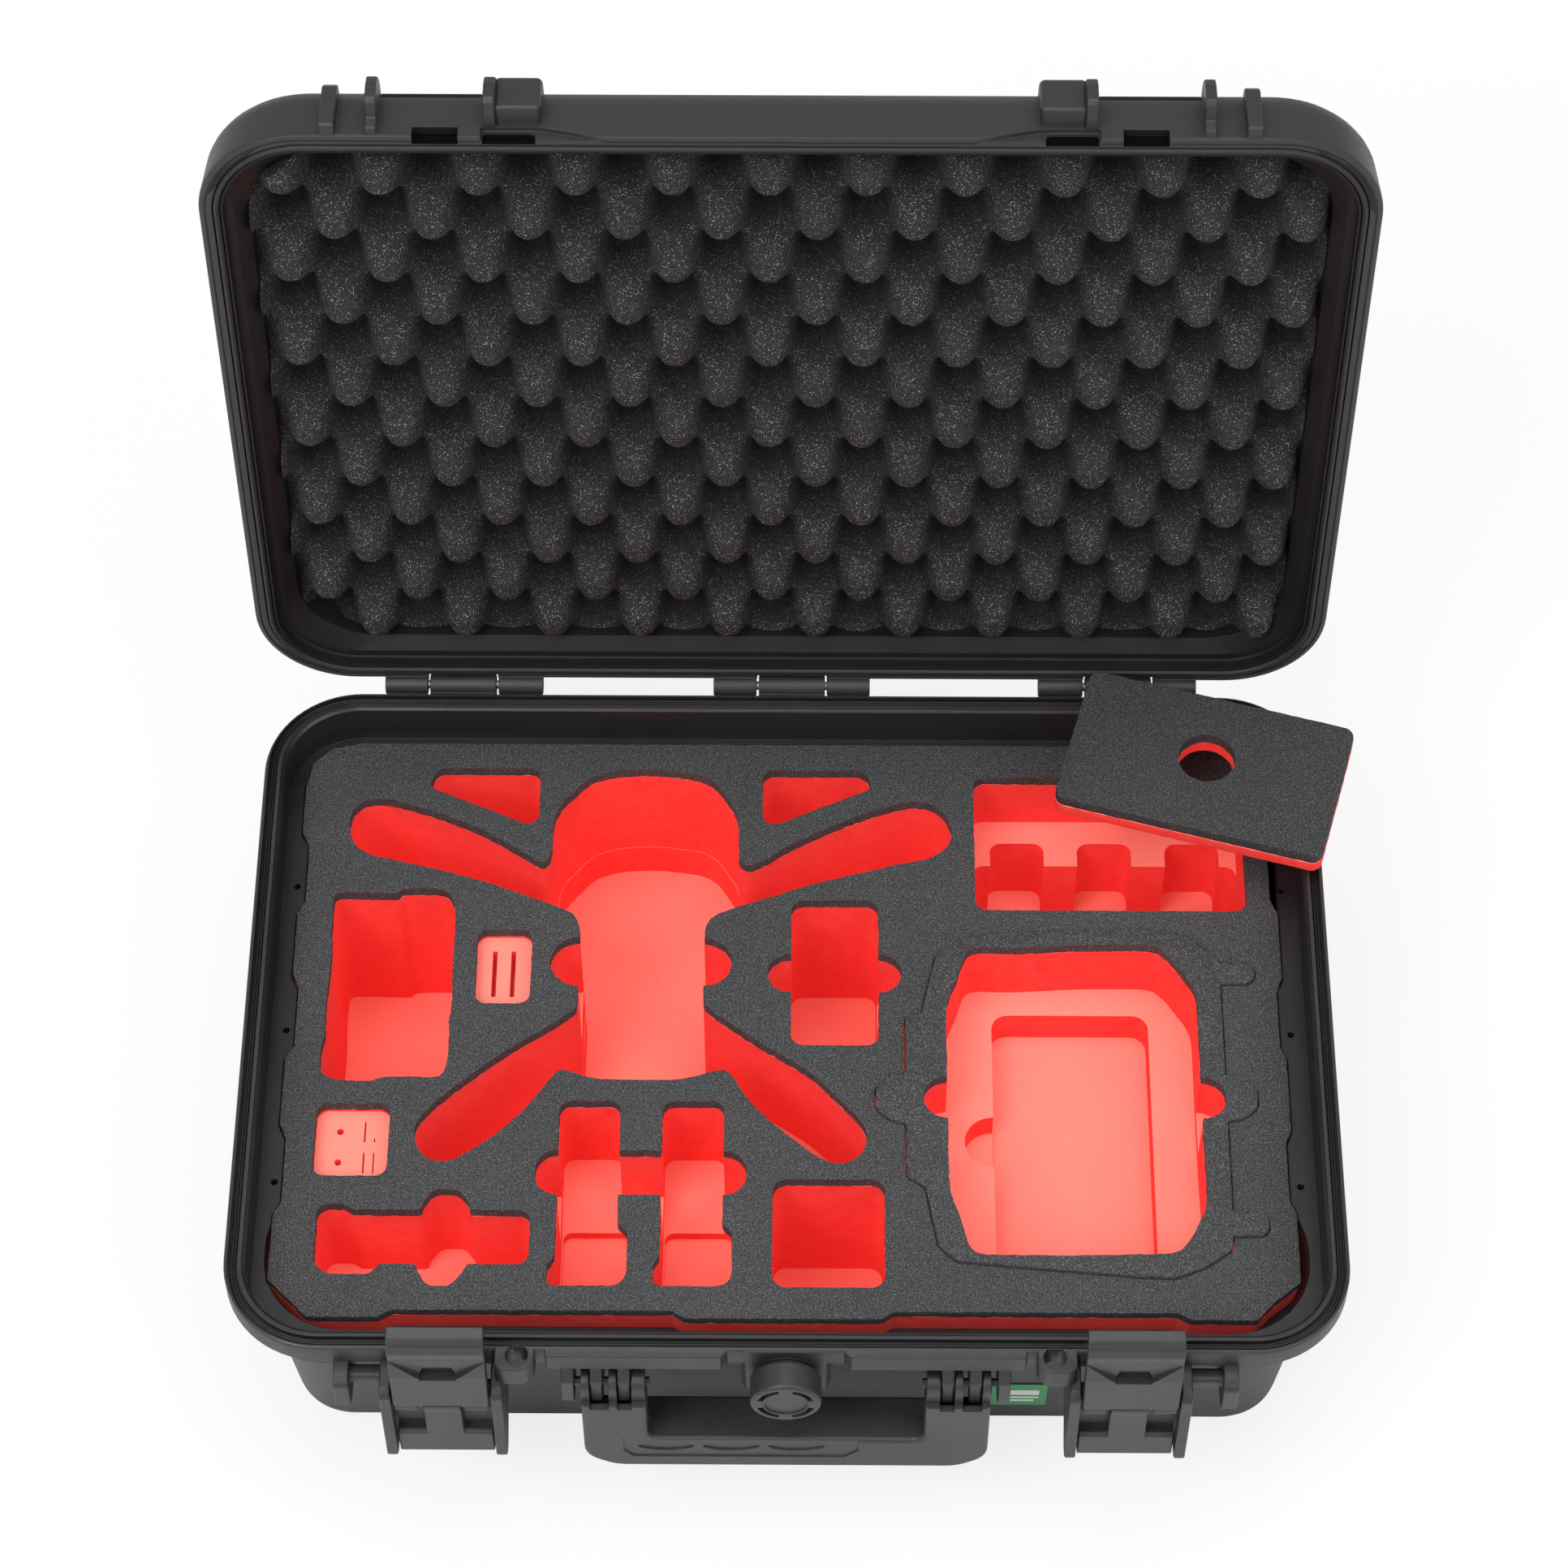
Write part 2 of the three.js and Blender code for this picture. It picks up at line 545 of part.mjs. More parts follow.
const foamRed = () =>
  cut(
    loft([foamRing(FOAM_BOTTOM), foamRing(BLACK_Z)]),
    ...[...OPEN_POCKETS, ...DEEP_POCKETS].map(([outline, depth]) =>
      prism(outline, FOAM_TOP - depth, RIM_Z),
    ),
    insertWell(INSERT_BOTTOM - INSERT.floorClearance),
    // two slits, then two round holes, under their shallow recesses
    ...[-127.8, -119.8].map((x) => box(x, x + 2, 20.9, 44, 90, 106)),
    rodZ(92, 106, -188.4, -46, 1.6, 10),
    rodZ(92, 106, -188.6, -60.8, 1.6, 10),
  );

const foamBlack = () =>
  cut(
    loft([foamRing(BLACK_Z + GLUE_GAP), foamRing(FOAM_TOP)]),
    ...OPEN_POCKETS.map(([outline]) => prism(outline, BLACK_Z - 1, FOAM_TOP + 1)),
    insertWell(BLACK_Z - 1),
  );

// ---------- controller insert ----------
const INSERT_TOP = FOAM_TOP + INSERT.proud;
const INSERT_BLACK_Z = INSERT_TOP - BLACK_THICKNESS;

const insertRed = () =>
  cut(
    prism(INSERT_OUTLINE, INSERT_BOTTOM, INSERT_BLACK_Z),
    ...[...CONTROLLER_POCKETS, ...CONTROLLER_DEEP_POCKETS].map(([outline, depth]) =>
      prism(outline, INSERT_TOP - depth, INSERT_TOP + 5),
    ),
  );

const insertBlack = () =>
  cut(
    prism(INSERT_OUTLINE, INSERT_BLACK_Z + GLUE_GAP, INSERT_TOP),
    ...CONTROLLER_POCKETS.map(([outline]) => prism(outline, INSERT_BLACK_Z - 1, INSERT_TOP + 1)),
  );

// ---------- loose cover plate ----------
const PLATE = { x: 59, y: 34.75, radius: 7, holeRadius: 13.2, halfThickness: 6 };
const PLATE_TURN = -15.6; // degrees about Z

const plateLayer = (bottom, top) =>
  prism(centred(PLATE, 0, 0, 4), bottom, top).subtract(
    rodZ(bottom - 1, top + 1, 0, 0, PLATE.holeRadius, 24),
  );

const coverPlate = () => {
  const group = new THREE.Group();
  const { halfThickness } = PLATE;
  addMesh(group, "cover_plate_red", plateLayer(-halfThickness, -GLUE_GAP / 2), MATERIAL.red);
  addMesh(group, "cover_plate_black", plateLayer(GLUE_GAP / 2, halfThickness), MATERIAL.black);
  group.position.set(179.9, 115.1, RIM_Z + 10.6);
  group.rotation.z = degToRad(PLATE_TURN);
  return group;
};

// ---------- lid, drawn closed ----------
const LID = { x: 233, y: 164.6, radius: 42, top: RIM_Z + 39, fillet: 22, draft: 1.2 };
const LID_INSIDE = { x: 214.7, y: 147.3, radius: 33, bottom: 142, top: 166.4 };
const LID_STEP = { x: 223.4, y: 156, radius: 33.6, z: 136.6 }; // inside edge of the lid rim
const CHANNEL = { x: 224.3, y: 156.9, radius: 34.5, width: 3.4, height: 3 }; // inner edge
const CORD_CLEARANCE = 0.4; // on both sides, in the channel
const LID_ARMS = [[-179, -160.2], [-129, -109.4], [-34, -15], [16, 35], [109.4, 129], [160.2, 179]];
const LATCH_RIBS = [[114.4, 119], [160.2, 164.6]]; // tall ribs either side of a latch, along X

// side profiles: y, z
const TALL_RIB = [
  [-160, 132.5], [-153, 160.5], [-166, 160], [-171, 158], [-175.5, 154], [-177, 150],
  [-177, 140.5], [-176, 139], [-168.5, 138], [-168, 132.5],
];
const LOW_RIB = [[-160, 132.3], [-154, 160], [-167, 158], [-169.5, 154], [-169.5, 132.3]];
const LID_BLOCK = [
  [-158, 139], [-151, 164], [-160, 164], [-166, 162], [-172, 157], [-173, 150], [-173, 139],
];
const ARM_WEB = [
  [160.5, 144], [160.5, LID_BOTTOM], [HINGE_AXIS.y - 1, HINGE_AXIS.z],
  [HINGE_AXIS.y + 1, HINGE_AXIS.z + 1], [HINGE_AXIS.y + 2, HINGE_AXIS.z + 4], [164.4, 140],
];

const lidBody = () =>
  loft([
    { points: centred(LID), z: LID_BOTTOM },
    ...FILLET_ANGLES.map((angle) => {
      const inset = LID.draft + LID.fillet * (1 - Math.cos(angle));
      return {
        points: centred(LID, -inset, -inset * 0.6),
        z: LID.top - LID.fillet + LID.fillet * Math.sin(angle),
      };
    }),
  ]);

const lidFrontRibs = (side) => [
  ...LATCH_RIBS.map((range) => profileX(TALL_RIB, ...span(side, ...range))),
  profileX(LOW_RIB, ...span(side, 176.4, 182.4)),
  profileX(LID_BLOCK, ...span(side, 96.6, 115)),
];

// latch keeper window, shoulder for the hook lip, notch under the block
const lidFrontCuts = (side) => [
  box(...span(side, 129.5, 148), -170, -161.2, LID_BOTTOM - 1, 137.4),
  box(
    ...span(side, LATCH_RIBS[0][1], LATCH_RIBS[1][0]), -170, -158.5, RIM_Z + 25.2, RIM_Z + 60,
  ),
  box(...span(side, 98.5, 115), -170, -161.2, LID_BOTTOM - 1, 136.4),
];

const lidInterior = () =>
  loft([
    { points: centred(LID_STEP), z: LID_BOTTOM - 1 },
    { points: centred(LID_STEP), z: LID_STEP.z },
    { points: centred(LID_STEP, -3.4, -0.4), z: LID_STEP.z + 0.4 },
    { points: centred(LID_INSIDE), z: LID_INSIDE.bottom },
    { points: centred(LID_INSIDE, -2.5), z: LID_INSIDE.top },
  ]);

const lidShell = () => {
  const clearHalf = KNUCKLE.halfLength + 0.7;
  return cut(
    unite(
      lidBody(),
      ...SIDES.flatMap(lidFrontRibs),
      ...LID_ARMS.flatMap(([left, right]) => [
        rodX(left, right, HINGE_AXIS, KNUCKLE.radius - 0.1, 20),
        profileX(ARM_WEB, left, right),
      ]),
    ),
    lidInterior(),
    band(CHANNEL, CHANNEL.width, LID_BOTTOM - 1, LID_BOTTOM + CHANNEL.height),
    // clearance for the base knuckles
    ...BASE_KNUCKLES.map((x) =>
      rodX(x - clearHalf, x + clearHalf, HINGE_AXIS, KNUCKLE.radius + 0.9, 20),
    ),
    ...LID_ARMS.map(([left, right]) => pinHole(left - 0.5, right + 0.5, HINGE_AXIS)),
    ...SIDES.flatMap(lidFrontCuts),
  );
};

// seal cord in the lid's channel
const lidSeal = () => {
  const inner = {
    x: CHANNEL.x + CORD_CLEARANCE,
    y: CHANNEL.y + CORD_CLEARANCE,
    radius: CHANNEL.radius + CORD_CLEARANCE,
  };
  const width = CHANNEL.width - 2 * CORD_CLEARANCE;
  return band(inner, width, RIM_Z - 0.9, LID_BOTTOM + CHANNEL.height - 0.3);
};

// convoluted foam, drawn as its envelope
const lidFoam = () =>
  loft([
    { points: centred(LID_INSIDE, -0.8), z: RIM_Z + 3 },
    { points: centred(LID_INSIDE, -3.1), z: LID_INSIDE.top - 0.2 },
  ]);

const openLid = () => {
  const group = new THREE.Group();
  addMesh(group, "lid_shell", lidShell(), MATERIAL.shell);
  addMesh(group, "lid_seal", lidSeal(), MATERIAL.rubber);
  addMesh(group, "lid_foam", lidFoam(), MATERIAL.black);
  // turn about the hinge axis
  for (const mesh of group.children) mesh.geometry.translate(0, -HINGE_AXIS.y, -HINGE_AXIS.z);
  group.position.set(0, HINGE_AXIS.y, HINGE_AXIS.z);
  group.rotation.x = degToRad(-LID_OPEN);
  return group;
};

// ---------- hinge pins ----------
const HINGE_PIN_HALF = 34.2;
const HINGE_PINS = { left: -144.4, middle: 0.5, right: 144.4 }; // centres along X

const addHingePins = (parent) => {
  for (const [place, x] of Object.entries(HINGE_PINS)) {
    const body = pin(x - HINGE_PIN_HALF, x + HINGE_PIN_HALF, HINGE_AXIS);
    addMesh(parent, "hinge_pin_" + place, body, MATERIAL.steel);
  }
};

// ---------- latches, drawn about x = 0 ----------
const LEVER = { half: 19.6, stemHalf: 7.7 }; // half widths of the bar and the stem
const HOOK = { half: 19.4, knuckleNear: 9.6, knuckleFar: 18.8 };
const LINK_KNUCKLE_RADIUS = 3.1;
const LINK_HOLE_RADIUS = 1.7;
const LINK_PIN_RADIUS = 1.4;

// side profiles: y, z
const LEVER_PROFILE = [
  [LEVER_AXIS.y - 0.5, LEVER_AXIS.z - 4], [LEVER_AXIS.y + 2.5, LEVER_AXIS.z - 3],
  [-167.5, 90], [-167.5, 64], [-169.5, 63.2], [-172.5, 63.2], [-174, 64.5],
  [-174, 79.6], [-172.6, 80.6], [-172.4, 96], [LEVER_AXIS.y - 4, LEVER_AXIS.z],
];
const STEM_PROFILE = [
  [-170, 79], [-174, 79], [-174, 100], [LINK_AXIS.y - 0.2, LINK_AXIS.z - 3.1],
  [LINK_AXIS.y + 3, LINK_AXIS.z - 2], [LEVER_AXIS.y, LEVER_AXIS.z],
];
// bevelled front, rounded lip over the lid's shoulder
const HOOK_PROFILE = [
  [-176.8, 109], [-174.3, 109], [-171.6, 112.4], [-170.4, 120], [-170.2, 150], [-166, 156.9],
  [-166, 159.2], [-171, 158], [-174, 155.4], [-175.2, 151.5], [-174.6, 147], [-176.6, 134],
];

// T lever: hub on the ear pin, stem and bottom bar
const latchLever = () => {
  const { half, stemHalf } = LEVER;
  return cut(
    unite(
      rodX(-half, half, LEVER_AXIS, 4.2, 16),
      profileX(LEVER_PROFILE, -half, half),
      profileX(STEM_PROFILE, -stemHalf, stemHalf),
      rodX(-stemHalf, stemHalf, LINK_AXIS, LINK_KNUCKLE_RADIUS, 16),
    ),
    // thin the plate beside the stem
    ...SIDES.map((side) => box(...span(side, stemHalf, 30), -180, -169.6, 80.8, 97.5)),
    pinHole(-21, 21, LEVER_AXIS),
    rodX(-9, 9, LINK_AXIS, LINK_HOLE_RADIUS, 12),
  );
};

// hook plate with two knuckles on the link pin
const latchHook = () => {
  const { half, knuckleNear: near, knuckleFar: far } = HOOK;
  return cut(
    unite(
      profileX(HOOK_PROFILE, -half, half),
      ...SIDES.flatMap((side) => [
        rodX(...span(side, near, far), LINK_AXIS, LINK_KNUCKLE_RADIUS, 14),
        box(...span(side, near, far), -176.4, LINK_AXIS.y, LINK_AXIS.z, 113),
      ]),
    ),
    rodX(-20, 20, LINK_AXIS, LINK_HOLE_RADIUS, 12),
    // room for the lever's stem
    box(-near, near, -175.6, -168, 105, 112.2),
    rodX(-near, near, LINK_AXIS, 3.7, 16),
    // slot through the plate
    box(-9, 9, -180, -168, 131.2, 134.2),
  );
};

const addLatches = (parent) => {
  const pieces = [
    ["latch_lever_", latchLever(), MATERIAL.hardware],
    ["latch_hook_", latchHook(), MATERIAL.hardware],
    ["latch_pivot_pin_", pin(-24.6, 24.6, LEVER_AXIS), MATERIAL.steel],
    ["latch_link_pin_", rodX(-18.6, 18.6, LINK_AXIS, LINK_PIN_RADIUS, 12), MATERIAL.steel],
  ];
  for (const [place, x] of [["left", -LATCH_X], ["right", LATCH_X]])
    for (const [name, body, look] of pieces)
      addMesh(parent, name + place, body.translate([x, 0, 0]), look);
};

// ---------- handle ----------
const HANDLE = { half: 83.3, armInner: 56.6, armTop: 101, barTop: 70.5 };
// lower edge of the grip: x, z, corner radius
const GRIP_EDGE = [[-HANDLE.half, 54, 10], [-72, 46.5, 14], [72, 46.5, 14], [HANDLE.half, 54, 10]];
// recess in the front face: x, z
const HANDLE_RECESS = [[-67, 73], [-67, 61], [-63, 55.5], [24, 55.5], [30, 61.5], [30, 73]];
// eyes on the pin along X, outermost first, and the slots between them
const HANDLE_EYES = [[79.9, 83.3], [68.7, 72], [57.2, 62.7]];
const HANDLE_SLOTS = [0, 1].map((i) => [HANDLE_EYES[i + 1][1], HANDLE_EYES[i][0]]);

const handleEyes = (side) =>
  HANDLE_EYES.flatMap((range) => [
    rodX(...span(side, ...range), HANDLE_AXIS, 5.4, 18),
    box(...span(side, ...range), -169.4, -160.5, 98, HANDLE_AXIS.z),
  ]);

// room for the base's lugs
const handleSlots = (side) =>
  HANDLE_SLOTS.flatMap((range) => [
    box(...span(side, ...range), -169, -150, 88.6, 120),
    box(...span(side, ...range), -180, -150, 97.5, 120),
  ]);

const handle = () => {
  const { half, armInner, armTop, barTop } = HANDLE;
  const outline = rounded(
    [
      [-half, armTop, 0], ...GRIP_EDGE, [half, armTop, 0], [armInner, armTop, 0],
      [armInner, barTop, 6], [-armInner, barTop, 6], [-armInner, armTop, 0],
    ],
    3,
  );
  const bar = rounded([[-half, barTop, 0], ...GRIP_EDGE, [half, barTop, 0]], 3);
  return cut(
    unite(
      profileY(outline, -172, -160.5),
      profileY(bar, -161, -151.2), // the grip bar is deeper than the arms
      ...SIDES.flatMap(handleEyes),
    ),
    ...SIDES.flatMap(handleSlots),
    ...SIDES.map((side) => pinHole(...span(side, 56, 84), HANDLE_AXIS)),
    profileY(HANDLE_RECESS, -173, -171.3),
  );
};

// ---------- pressure valve ----------
const VENT = { inner: 9, outer: 11.4, halfAngle: 27, segments: 5 }; // arc slots in the cap

const valveBody = () =>
  cut(
    unite(rodY(-171.5, -163.2, VALVE_AXIS, 11.5, 28), rodY(-164, -152.8, VALVE_AXIS, 7.9, 20)),
    rodY(-168.5, -138, VALVE_AXIS, 4.6, 16),
  );

const ventSlot = (middle) => {
  const arc = (radius) =>
    Array.from({ length: VENT.segments + 1 }, (_, k) => {
      const angle = degToRad(middle - VENT.halfAngle + (2 * VENT.halfAngle * k) / VENT.segments);
      return [radius * Math.cos(angle), VALVE_AXIS.z + radius * Math.sin(angle)];
    });
  return profileY([...arc(VENT.outer), ...arc(VENT.inner).reverse()], -179, -172);
};

const valveCap = () =>
  cut(
    rodY(-177.4, -164.6, VALVE_AXIS, 14.5, 36),
    rodY(-173.8, -160, VALVE_AXIS, 12, 28),
    ...[45, 135, 225, 315].map(ventSlot),
  );

const valveGasket = () =>
  rodY(-163.1, -162.5, VALVE_AXIS, 12.5, 28).subtract(rodY(-164, -161, VALVE_AXIS, 8.2, 20));

// ---------- label on the drafted front wall ----------
const LABEL = { left: 86.5, right: 109.8, bottom: 24, top: 51, gap: 0.1, face: 0.5 };

const frontLabel = () => {
  const slope = (BODY_TOP.front - BODY_LOW.front) / (BODY_TOP.z - BODY_LOW.fillet);
  const offWall = (z, distance) => [
    BODY_LOW.front + slope * (z - BODY_LOW.fillet) - distance,
    z,
  ];
  const { left, right, bottom, top, gap, face } = LABEL;
  const profile = [
    offWall(bottom, gap), offWall(bottom, face), offWall(top, face), offWall(top, gap),
  ];
  return profileX(profile, left, right);
};

// ---------- assembly ----------
const root = new THREE.Group();
addMesh(root, "base_shell", baseShell(), MATERIAL.shell);
addMesh(root, "foam_insert_red", foamRed(), MATERIAL.red);
addMesh(root, "foam_insert_black", foamBlack(), MATERIAL.black);
addMesh(root, "controller_insert_red", insertRed(), MATERIAL.red);
addMesh(root, "controller_insert_black", insertBlack(), MATERIAL.black);
root.add(coverPlate());
root.add(openLid());
addHingePins(root);
addLatches(root);
addMesh(root, "handle", handle(), MATERIAL.hardware);
addMesh(root, "handle_pin_left", pin(-90.8, -55.4, HANDLE_AXIS), MATERIAL.steel);
addMesh(root, "handle_pin_right", pin(55.4, 90.8, HANDLE_AXIS), MATERIAL.steel);
addMesh(root, "valve_body", valveBody(), MATERIAL.hardware);
addMesh(root, "valve_cap", valveCap(), MATERIAL.hardware);
addMesh(root, "valve_gasket", valveGasket(), MATERIAL.rubber);
addMesh(root, "front_label", frontLabel(), MATERIAL.label);

export default root;
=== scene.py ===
"""Hard plastic carrying case, open, with cut foam for a drone, its controller and small parts.

Drawn in millimetres: x runs left to right, y from the front (-) to the hinge at the back (+),
z up from the floor. The lid is drawn closed and then turned open about the hinge.
"""

import bpy
import bmesh
import math
import numpy as np
from mathutils import Matrix, Vector


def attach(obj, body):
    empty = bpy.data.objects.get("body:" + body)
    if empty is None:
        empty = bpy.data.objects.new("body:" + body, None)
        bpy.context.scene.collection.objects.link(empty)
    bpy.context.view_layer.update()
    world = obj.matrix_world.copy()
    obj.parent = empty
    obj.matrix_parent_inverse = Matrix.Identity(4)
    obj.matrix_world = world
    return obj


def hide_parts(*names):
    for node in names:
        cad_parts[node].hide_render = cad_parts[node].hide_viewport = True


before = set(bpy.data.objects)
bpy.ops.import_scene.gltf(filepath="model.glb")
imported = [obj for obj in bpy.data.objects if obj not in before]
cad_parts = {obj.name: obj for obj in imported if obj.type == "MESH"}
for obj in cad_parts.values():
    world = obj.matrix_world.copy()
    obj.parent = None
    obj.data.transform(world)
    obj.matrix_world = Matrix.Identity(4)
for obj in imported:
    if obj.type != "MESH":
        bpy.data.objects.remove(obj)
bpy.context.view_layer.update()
MM = 0.001
rng = np.random.default_rng(11)

# ------------------------------------------------------------------ driving dimensions
RIM = 131.0  # top of the base
FOAM_TOP = 111.0
FOAM_FLOOR = 10
SKIN = 5.5  # black layer on the red foam
PROUD = 1.8  # controller insert above the foam round it
LID_OPEN = math.radians(93.8)
LATCH_X = 139.4
FILLET = 11  # bottom edge of the base, where the sloping walls start
WALL_TOP = 102.5
FRONT_Y = -129  # front wall at the fillet
FRONT_LEAN = 14.5  # front wall's lean from the fillet to WALL_TOP
# pin axes as (y, z)
HINGE_PIN = HINGE_Y, HINGE_Z = 167.3, RIM - 0.8
LEVER_PIN = (-166.0, RIM - 27)
LINK_PIN = (-173.6, RIM - 24)
HANDLE_PIN = (-164.0, RIM - 23)
PIN_HOLE = 2.3
LINK_HOLE = 1.7
VALVE_Z = RIM - 17
BASE_KNUCKLES = (-144.6, 0.6, 144.6)  # centres along x
KNUCKLE_HALF = 14.6
KNUCKLE_GAP = 15.3  # half the gap in the lid
LID_KNUCKLES = ((-179, -160.2), (-129, -109.4), (-34, -15), (16, 35), (109.4, 129), (160.2, 179))
HANDLE_X = 83.3  # half width

LID_PLACE = (
    Matrix.Translation((0, HINGE_Y * MM, HINGE_Z * MM))
    @ Matrix.Rotation(-LID_OPEN, 4, "X")
    @ Matrix.Translation((0, -HINGE_Y * MM, -HINGE_Z * MM))
)
PLATE_PLACE = Matrix.Translation((0.1799, 0.1151, (RIM + 10.6) * MM)) @ Matrix.Rotation(
    math.radians(-15.6), 4, "Z"
)


# ------------------------------------------------------------------ outlines
def signed_area(pts):
    x, y = np.array(pts, float).T
    return 0.5 * np.sum(x * np.roll(y, -1) - np.roll(x, -1) * y)


def ccw(pts):
    """the outline, counter-clockwise"""
    pts = [tuple(q[:2]) for q in pts]
    return pts if signed_area(pts) > 0 else pts[::-1]


def round_rect(x0, x1, y0, y1, radius, steps=8):
    pts = []
    for x, y, start in (
        (x1 - radius, y1 - radius, 0),
        (x0 + radius, y1 - radius, 90),
        (x0 + radius, y0 + radius, 180),
        (x1 - radius, y0 + radius, 270),
    ):
        for k in range(steps + 1):
            turn = math.radians(start + 90 * k / steps)
            pts.append((x + radius * math.cos(turn), y + radius * math.sin(turn)))
    return pts


def centred(half_x, half_y, radius, steps):
    return round_rect(-half_x, half_x, -half_y, half_y, radius, steps)


def rounded(corners, steps=8):
    """polygon of (x, y) or (x, y, radius) corners, with the radii worked in"""
    out = []
    for i, corner in enumerate(corners):
        here = np.array(corner[:2], float)
        radius = corner[2] if len(corner) > 2 else 0
        back = np.array(corners[i - 1][:2], float) - here
        ahead = np.array(corners[(i + 1) % len(corners)][:2], float) - here
        back_length, ahead_length = np.linalg.norm(back), np.linalg.norm(ahead)
        back /= back_length
        ahead /= ahead_length
        half = math.acos(max(-1, min(1, float(back @ ahead)))) / 2
        if radius <= 0 or half > 1.53:
            out.append(tuple(corner[:2]))
            continue
        setback = min(radius / math.tan(half), back_length * 0.49, ahead_length * 0.49)
        radius = setback * math.tan(half)
        middle = back + ahead
        middle /= np.linalg.norm(middle)
        centre = here + middle * radius / math.sin(half)
        first = here + back * setback - centre
        last = here + ahead * setback - centre
        start, end = math.atan2(first[1], first[0]), math.atan2(last[1], last[0])
        while end - start > math.pi:
            end -= 2 * math.pi
        while end - start < -math.pi:
            end += 2 * math.pi
        for k in range(steps + 1):
            turn = start + (end - start) * k / steps
            out.append((centre[0] + radius * math.cos(turn), centre[1] + radius * math.sin(turn)))
    return ccw(out)


def disc(x, y, radius, radius_y=None, steps=40):
    radius_y = radius if radius_y is None else radius_y
    turns = [2 * math.pi * k / steps for k in range(steps)]
    return [(x + radius * math.cos(t), y + radius_y * math.sin(t)) for t in turns]


def unit(vectors, least=1e-9):
    return vectors / np.maximum(np.linalg.norm(vectors, axis=1, keepdims=True), least)


def grown(pts, amount):
    """outline offset outward"""
    pts = np.array(pts, float)
    back, ahead = pts - np.roll(pts, 1, 0), np.roll(pts, -1, 0) - pts
    middle = unit(np.c_[back[:, 1], -back[:, 0]]) + unit(np.c_[ahead[:, 1], -ahead[:, 0]])
    length = np.maximum(np.linalg.norm(middle, axis=1, keepdims=True), 1e-6)
    mitre = amount / np.maximum(length / 2, 0.4)
    return [tuple(q) for q in pts + middle / length * mitre]


def resample(pts, step):
    """outline with a point about every step mm, corners kept"""
    out = []
    pts = np.array(pts, float)
    for here, there in zip(pts, np.roll(pts, -1, 0)):
        count = max(1, int(round(np.linalg.norm(there - here) / step)))
        out += [tuple(here + (there - here) * k / count) for k in range(count)]
    return out


def smooth_closed(pts, step=2.0):
    """Catmull-Rom curve through measured points, resampled"""
    pts = np.array(pts, float)
    count = len(pts)
    out = []
    for i in range(count):
        p0, p1, p2, p3 = pts[i - 1], pts[i], pts[(i + 1) % count], pts[(i + 2) % count]
        pieces = max(2, int(np.linalg.norm(p2 - p1) / step))
        for j in range(pieces):
            t = j / pieces
            square = (2 * p0 - 5 * p1 + 4 * p2 - p3) * t * t
            cube = (-p0 + 3 * p1 - 3 * p2 + p3) * t**3
            out.append(tuple(0.5 * ((2 * p1) + (-p0 + p2) * t + square + cube)))
    return ccw(out)


def ragged(pts, amount=0.13, step=1.1):
    """cut foam edge: a slightly uneven outline"""
    pts = np.array(resample(pts, step), float)
    shift = rng.normal(0, amount, len(pts))
    shift = 0.5 * shift + 0.25 * np.roll(shift, 1) + 0.25 * np.roll(shift, -1)
    along = unit(np.roll(pts, -1, 0) - np.roll(pts, 1, 0))
    return [tuple(q) for q in pts + np.c_[along[:, 1], -along[:, 0]] * shift[:, None]]


def span(side, low, high):
    """range on the right (side 1) or mirrored to the left (side -1)"""
    return (low, high) if side > 0 else (-high, -low)


def mirrored(pts, side):
    return pts if side > 0 else [(-x, *rest) for x, *rest in pts]


# ------------------------------------------------------------------ solids: (verts, faces)
def loft(rings, axis="z"):
    """solid through (outline, depth) rings of equal count, both ends capped"""
    count = len(rings[0][0])
    verts = [(x, y, z) for outline, z in rings for x, y in outline]
    if axis == "x":  # outline (y, z), depth x
        verts = [(depth, y, z) for y, z, depth in verts]
    elif axis == "y":  # outline (x, z), depth -y
        verts = [(x, -depth, z) for x, z, depth in verts]
    faces = []
    for i in range(len(rings) - 1):
        for k in range(count):
            here, ahead = i * count + k, i * count + (k + 1) % count
            faces.append((here, ahead, ahead + count, here + count))
    faces.append(tuple(range(count - 1, -1, -1)))
    faces.append(tuple((len(rings) - 1) * count + k for k in range(count)))
    return verts, faces


def centred_rings(stations, steps):
    """rings from (half x, half y, corner radius, z) stations"""
    return [(centred(x, y, radius, steps), z) for x, y, radius, z in stations]


def prism(outline, low, high, axis="z"):
    outline = ccw(outline)
    if axis == "y":
        low, high = -high, -low
    return loft([(outline, low), (outline, high)], axis)


def pillow(outline, low, high, edge, steps=3, axis="z"):
    """prism with rounded end edges"""
    outline = ccw(outline)
    if axis == "y":
        low, high = -high, -low
    turns = [math.pi / 2 * k / steps for k in range(steps + 1)]
    levels = [(grown(outline, -edge * (1 - math.sin(t))), edge * (1 - math.cos(t))) for t in turns]
    rings = [(ring, low + rise) for ring, rise in levels]
    rings += [(ring, high - rise) for ring, rise in reversed(levels)]
    return loft(rings, axis)


def pillow_x(outline, low, high, edge, steps=3):
    return pillow(outline, low, high, edge, steps, "x")


def rod(axis, low, high, centre, radius, steps=20, edge=0.3):
    outline = disc(*centre, radius, steps=steps)
    return pillow(outline, low, high, min(edge, radius * 0.4), 2, axis)


def box(x0, x1, y0, y1, z0, z1, edge=0.0):
    outline = [(x0, y0), (x1, y0), (x1, y1), (x0, y1)]
    return pillow(outline, z0, z1, edge, 2) if edge > 0 else prism(outline, z0, z1)


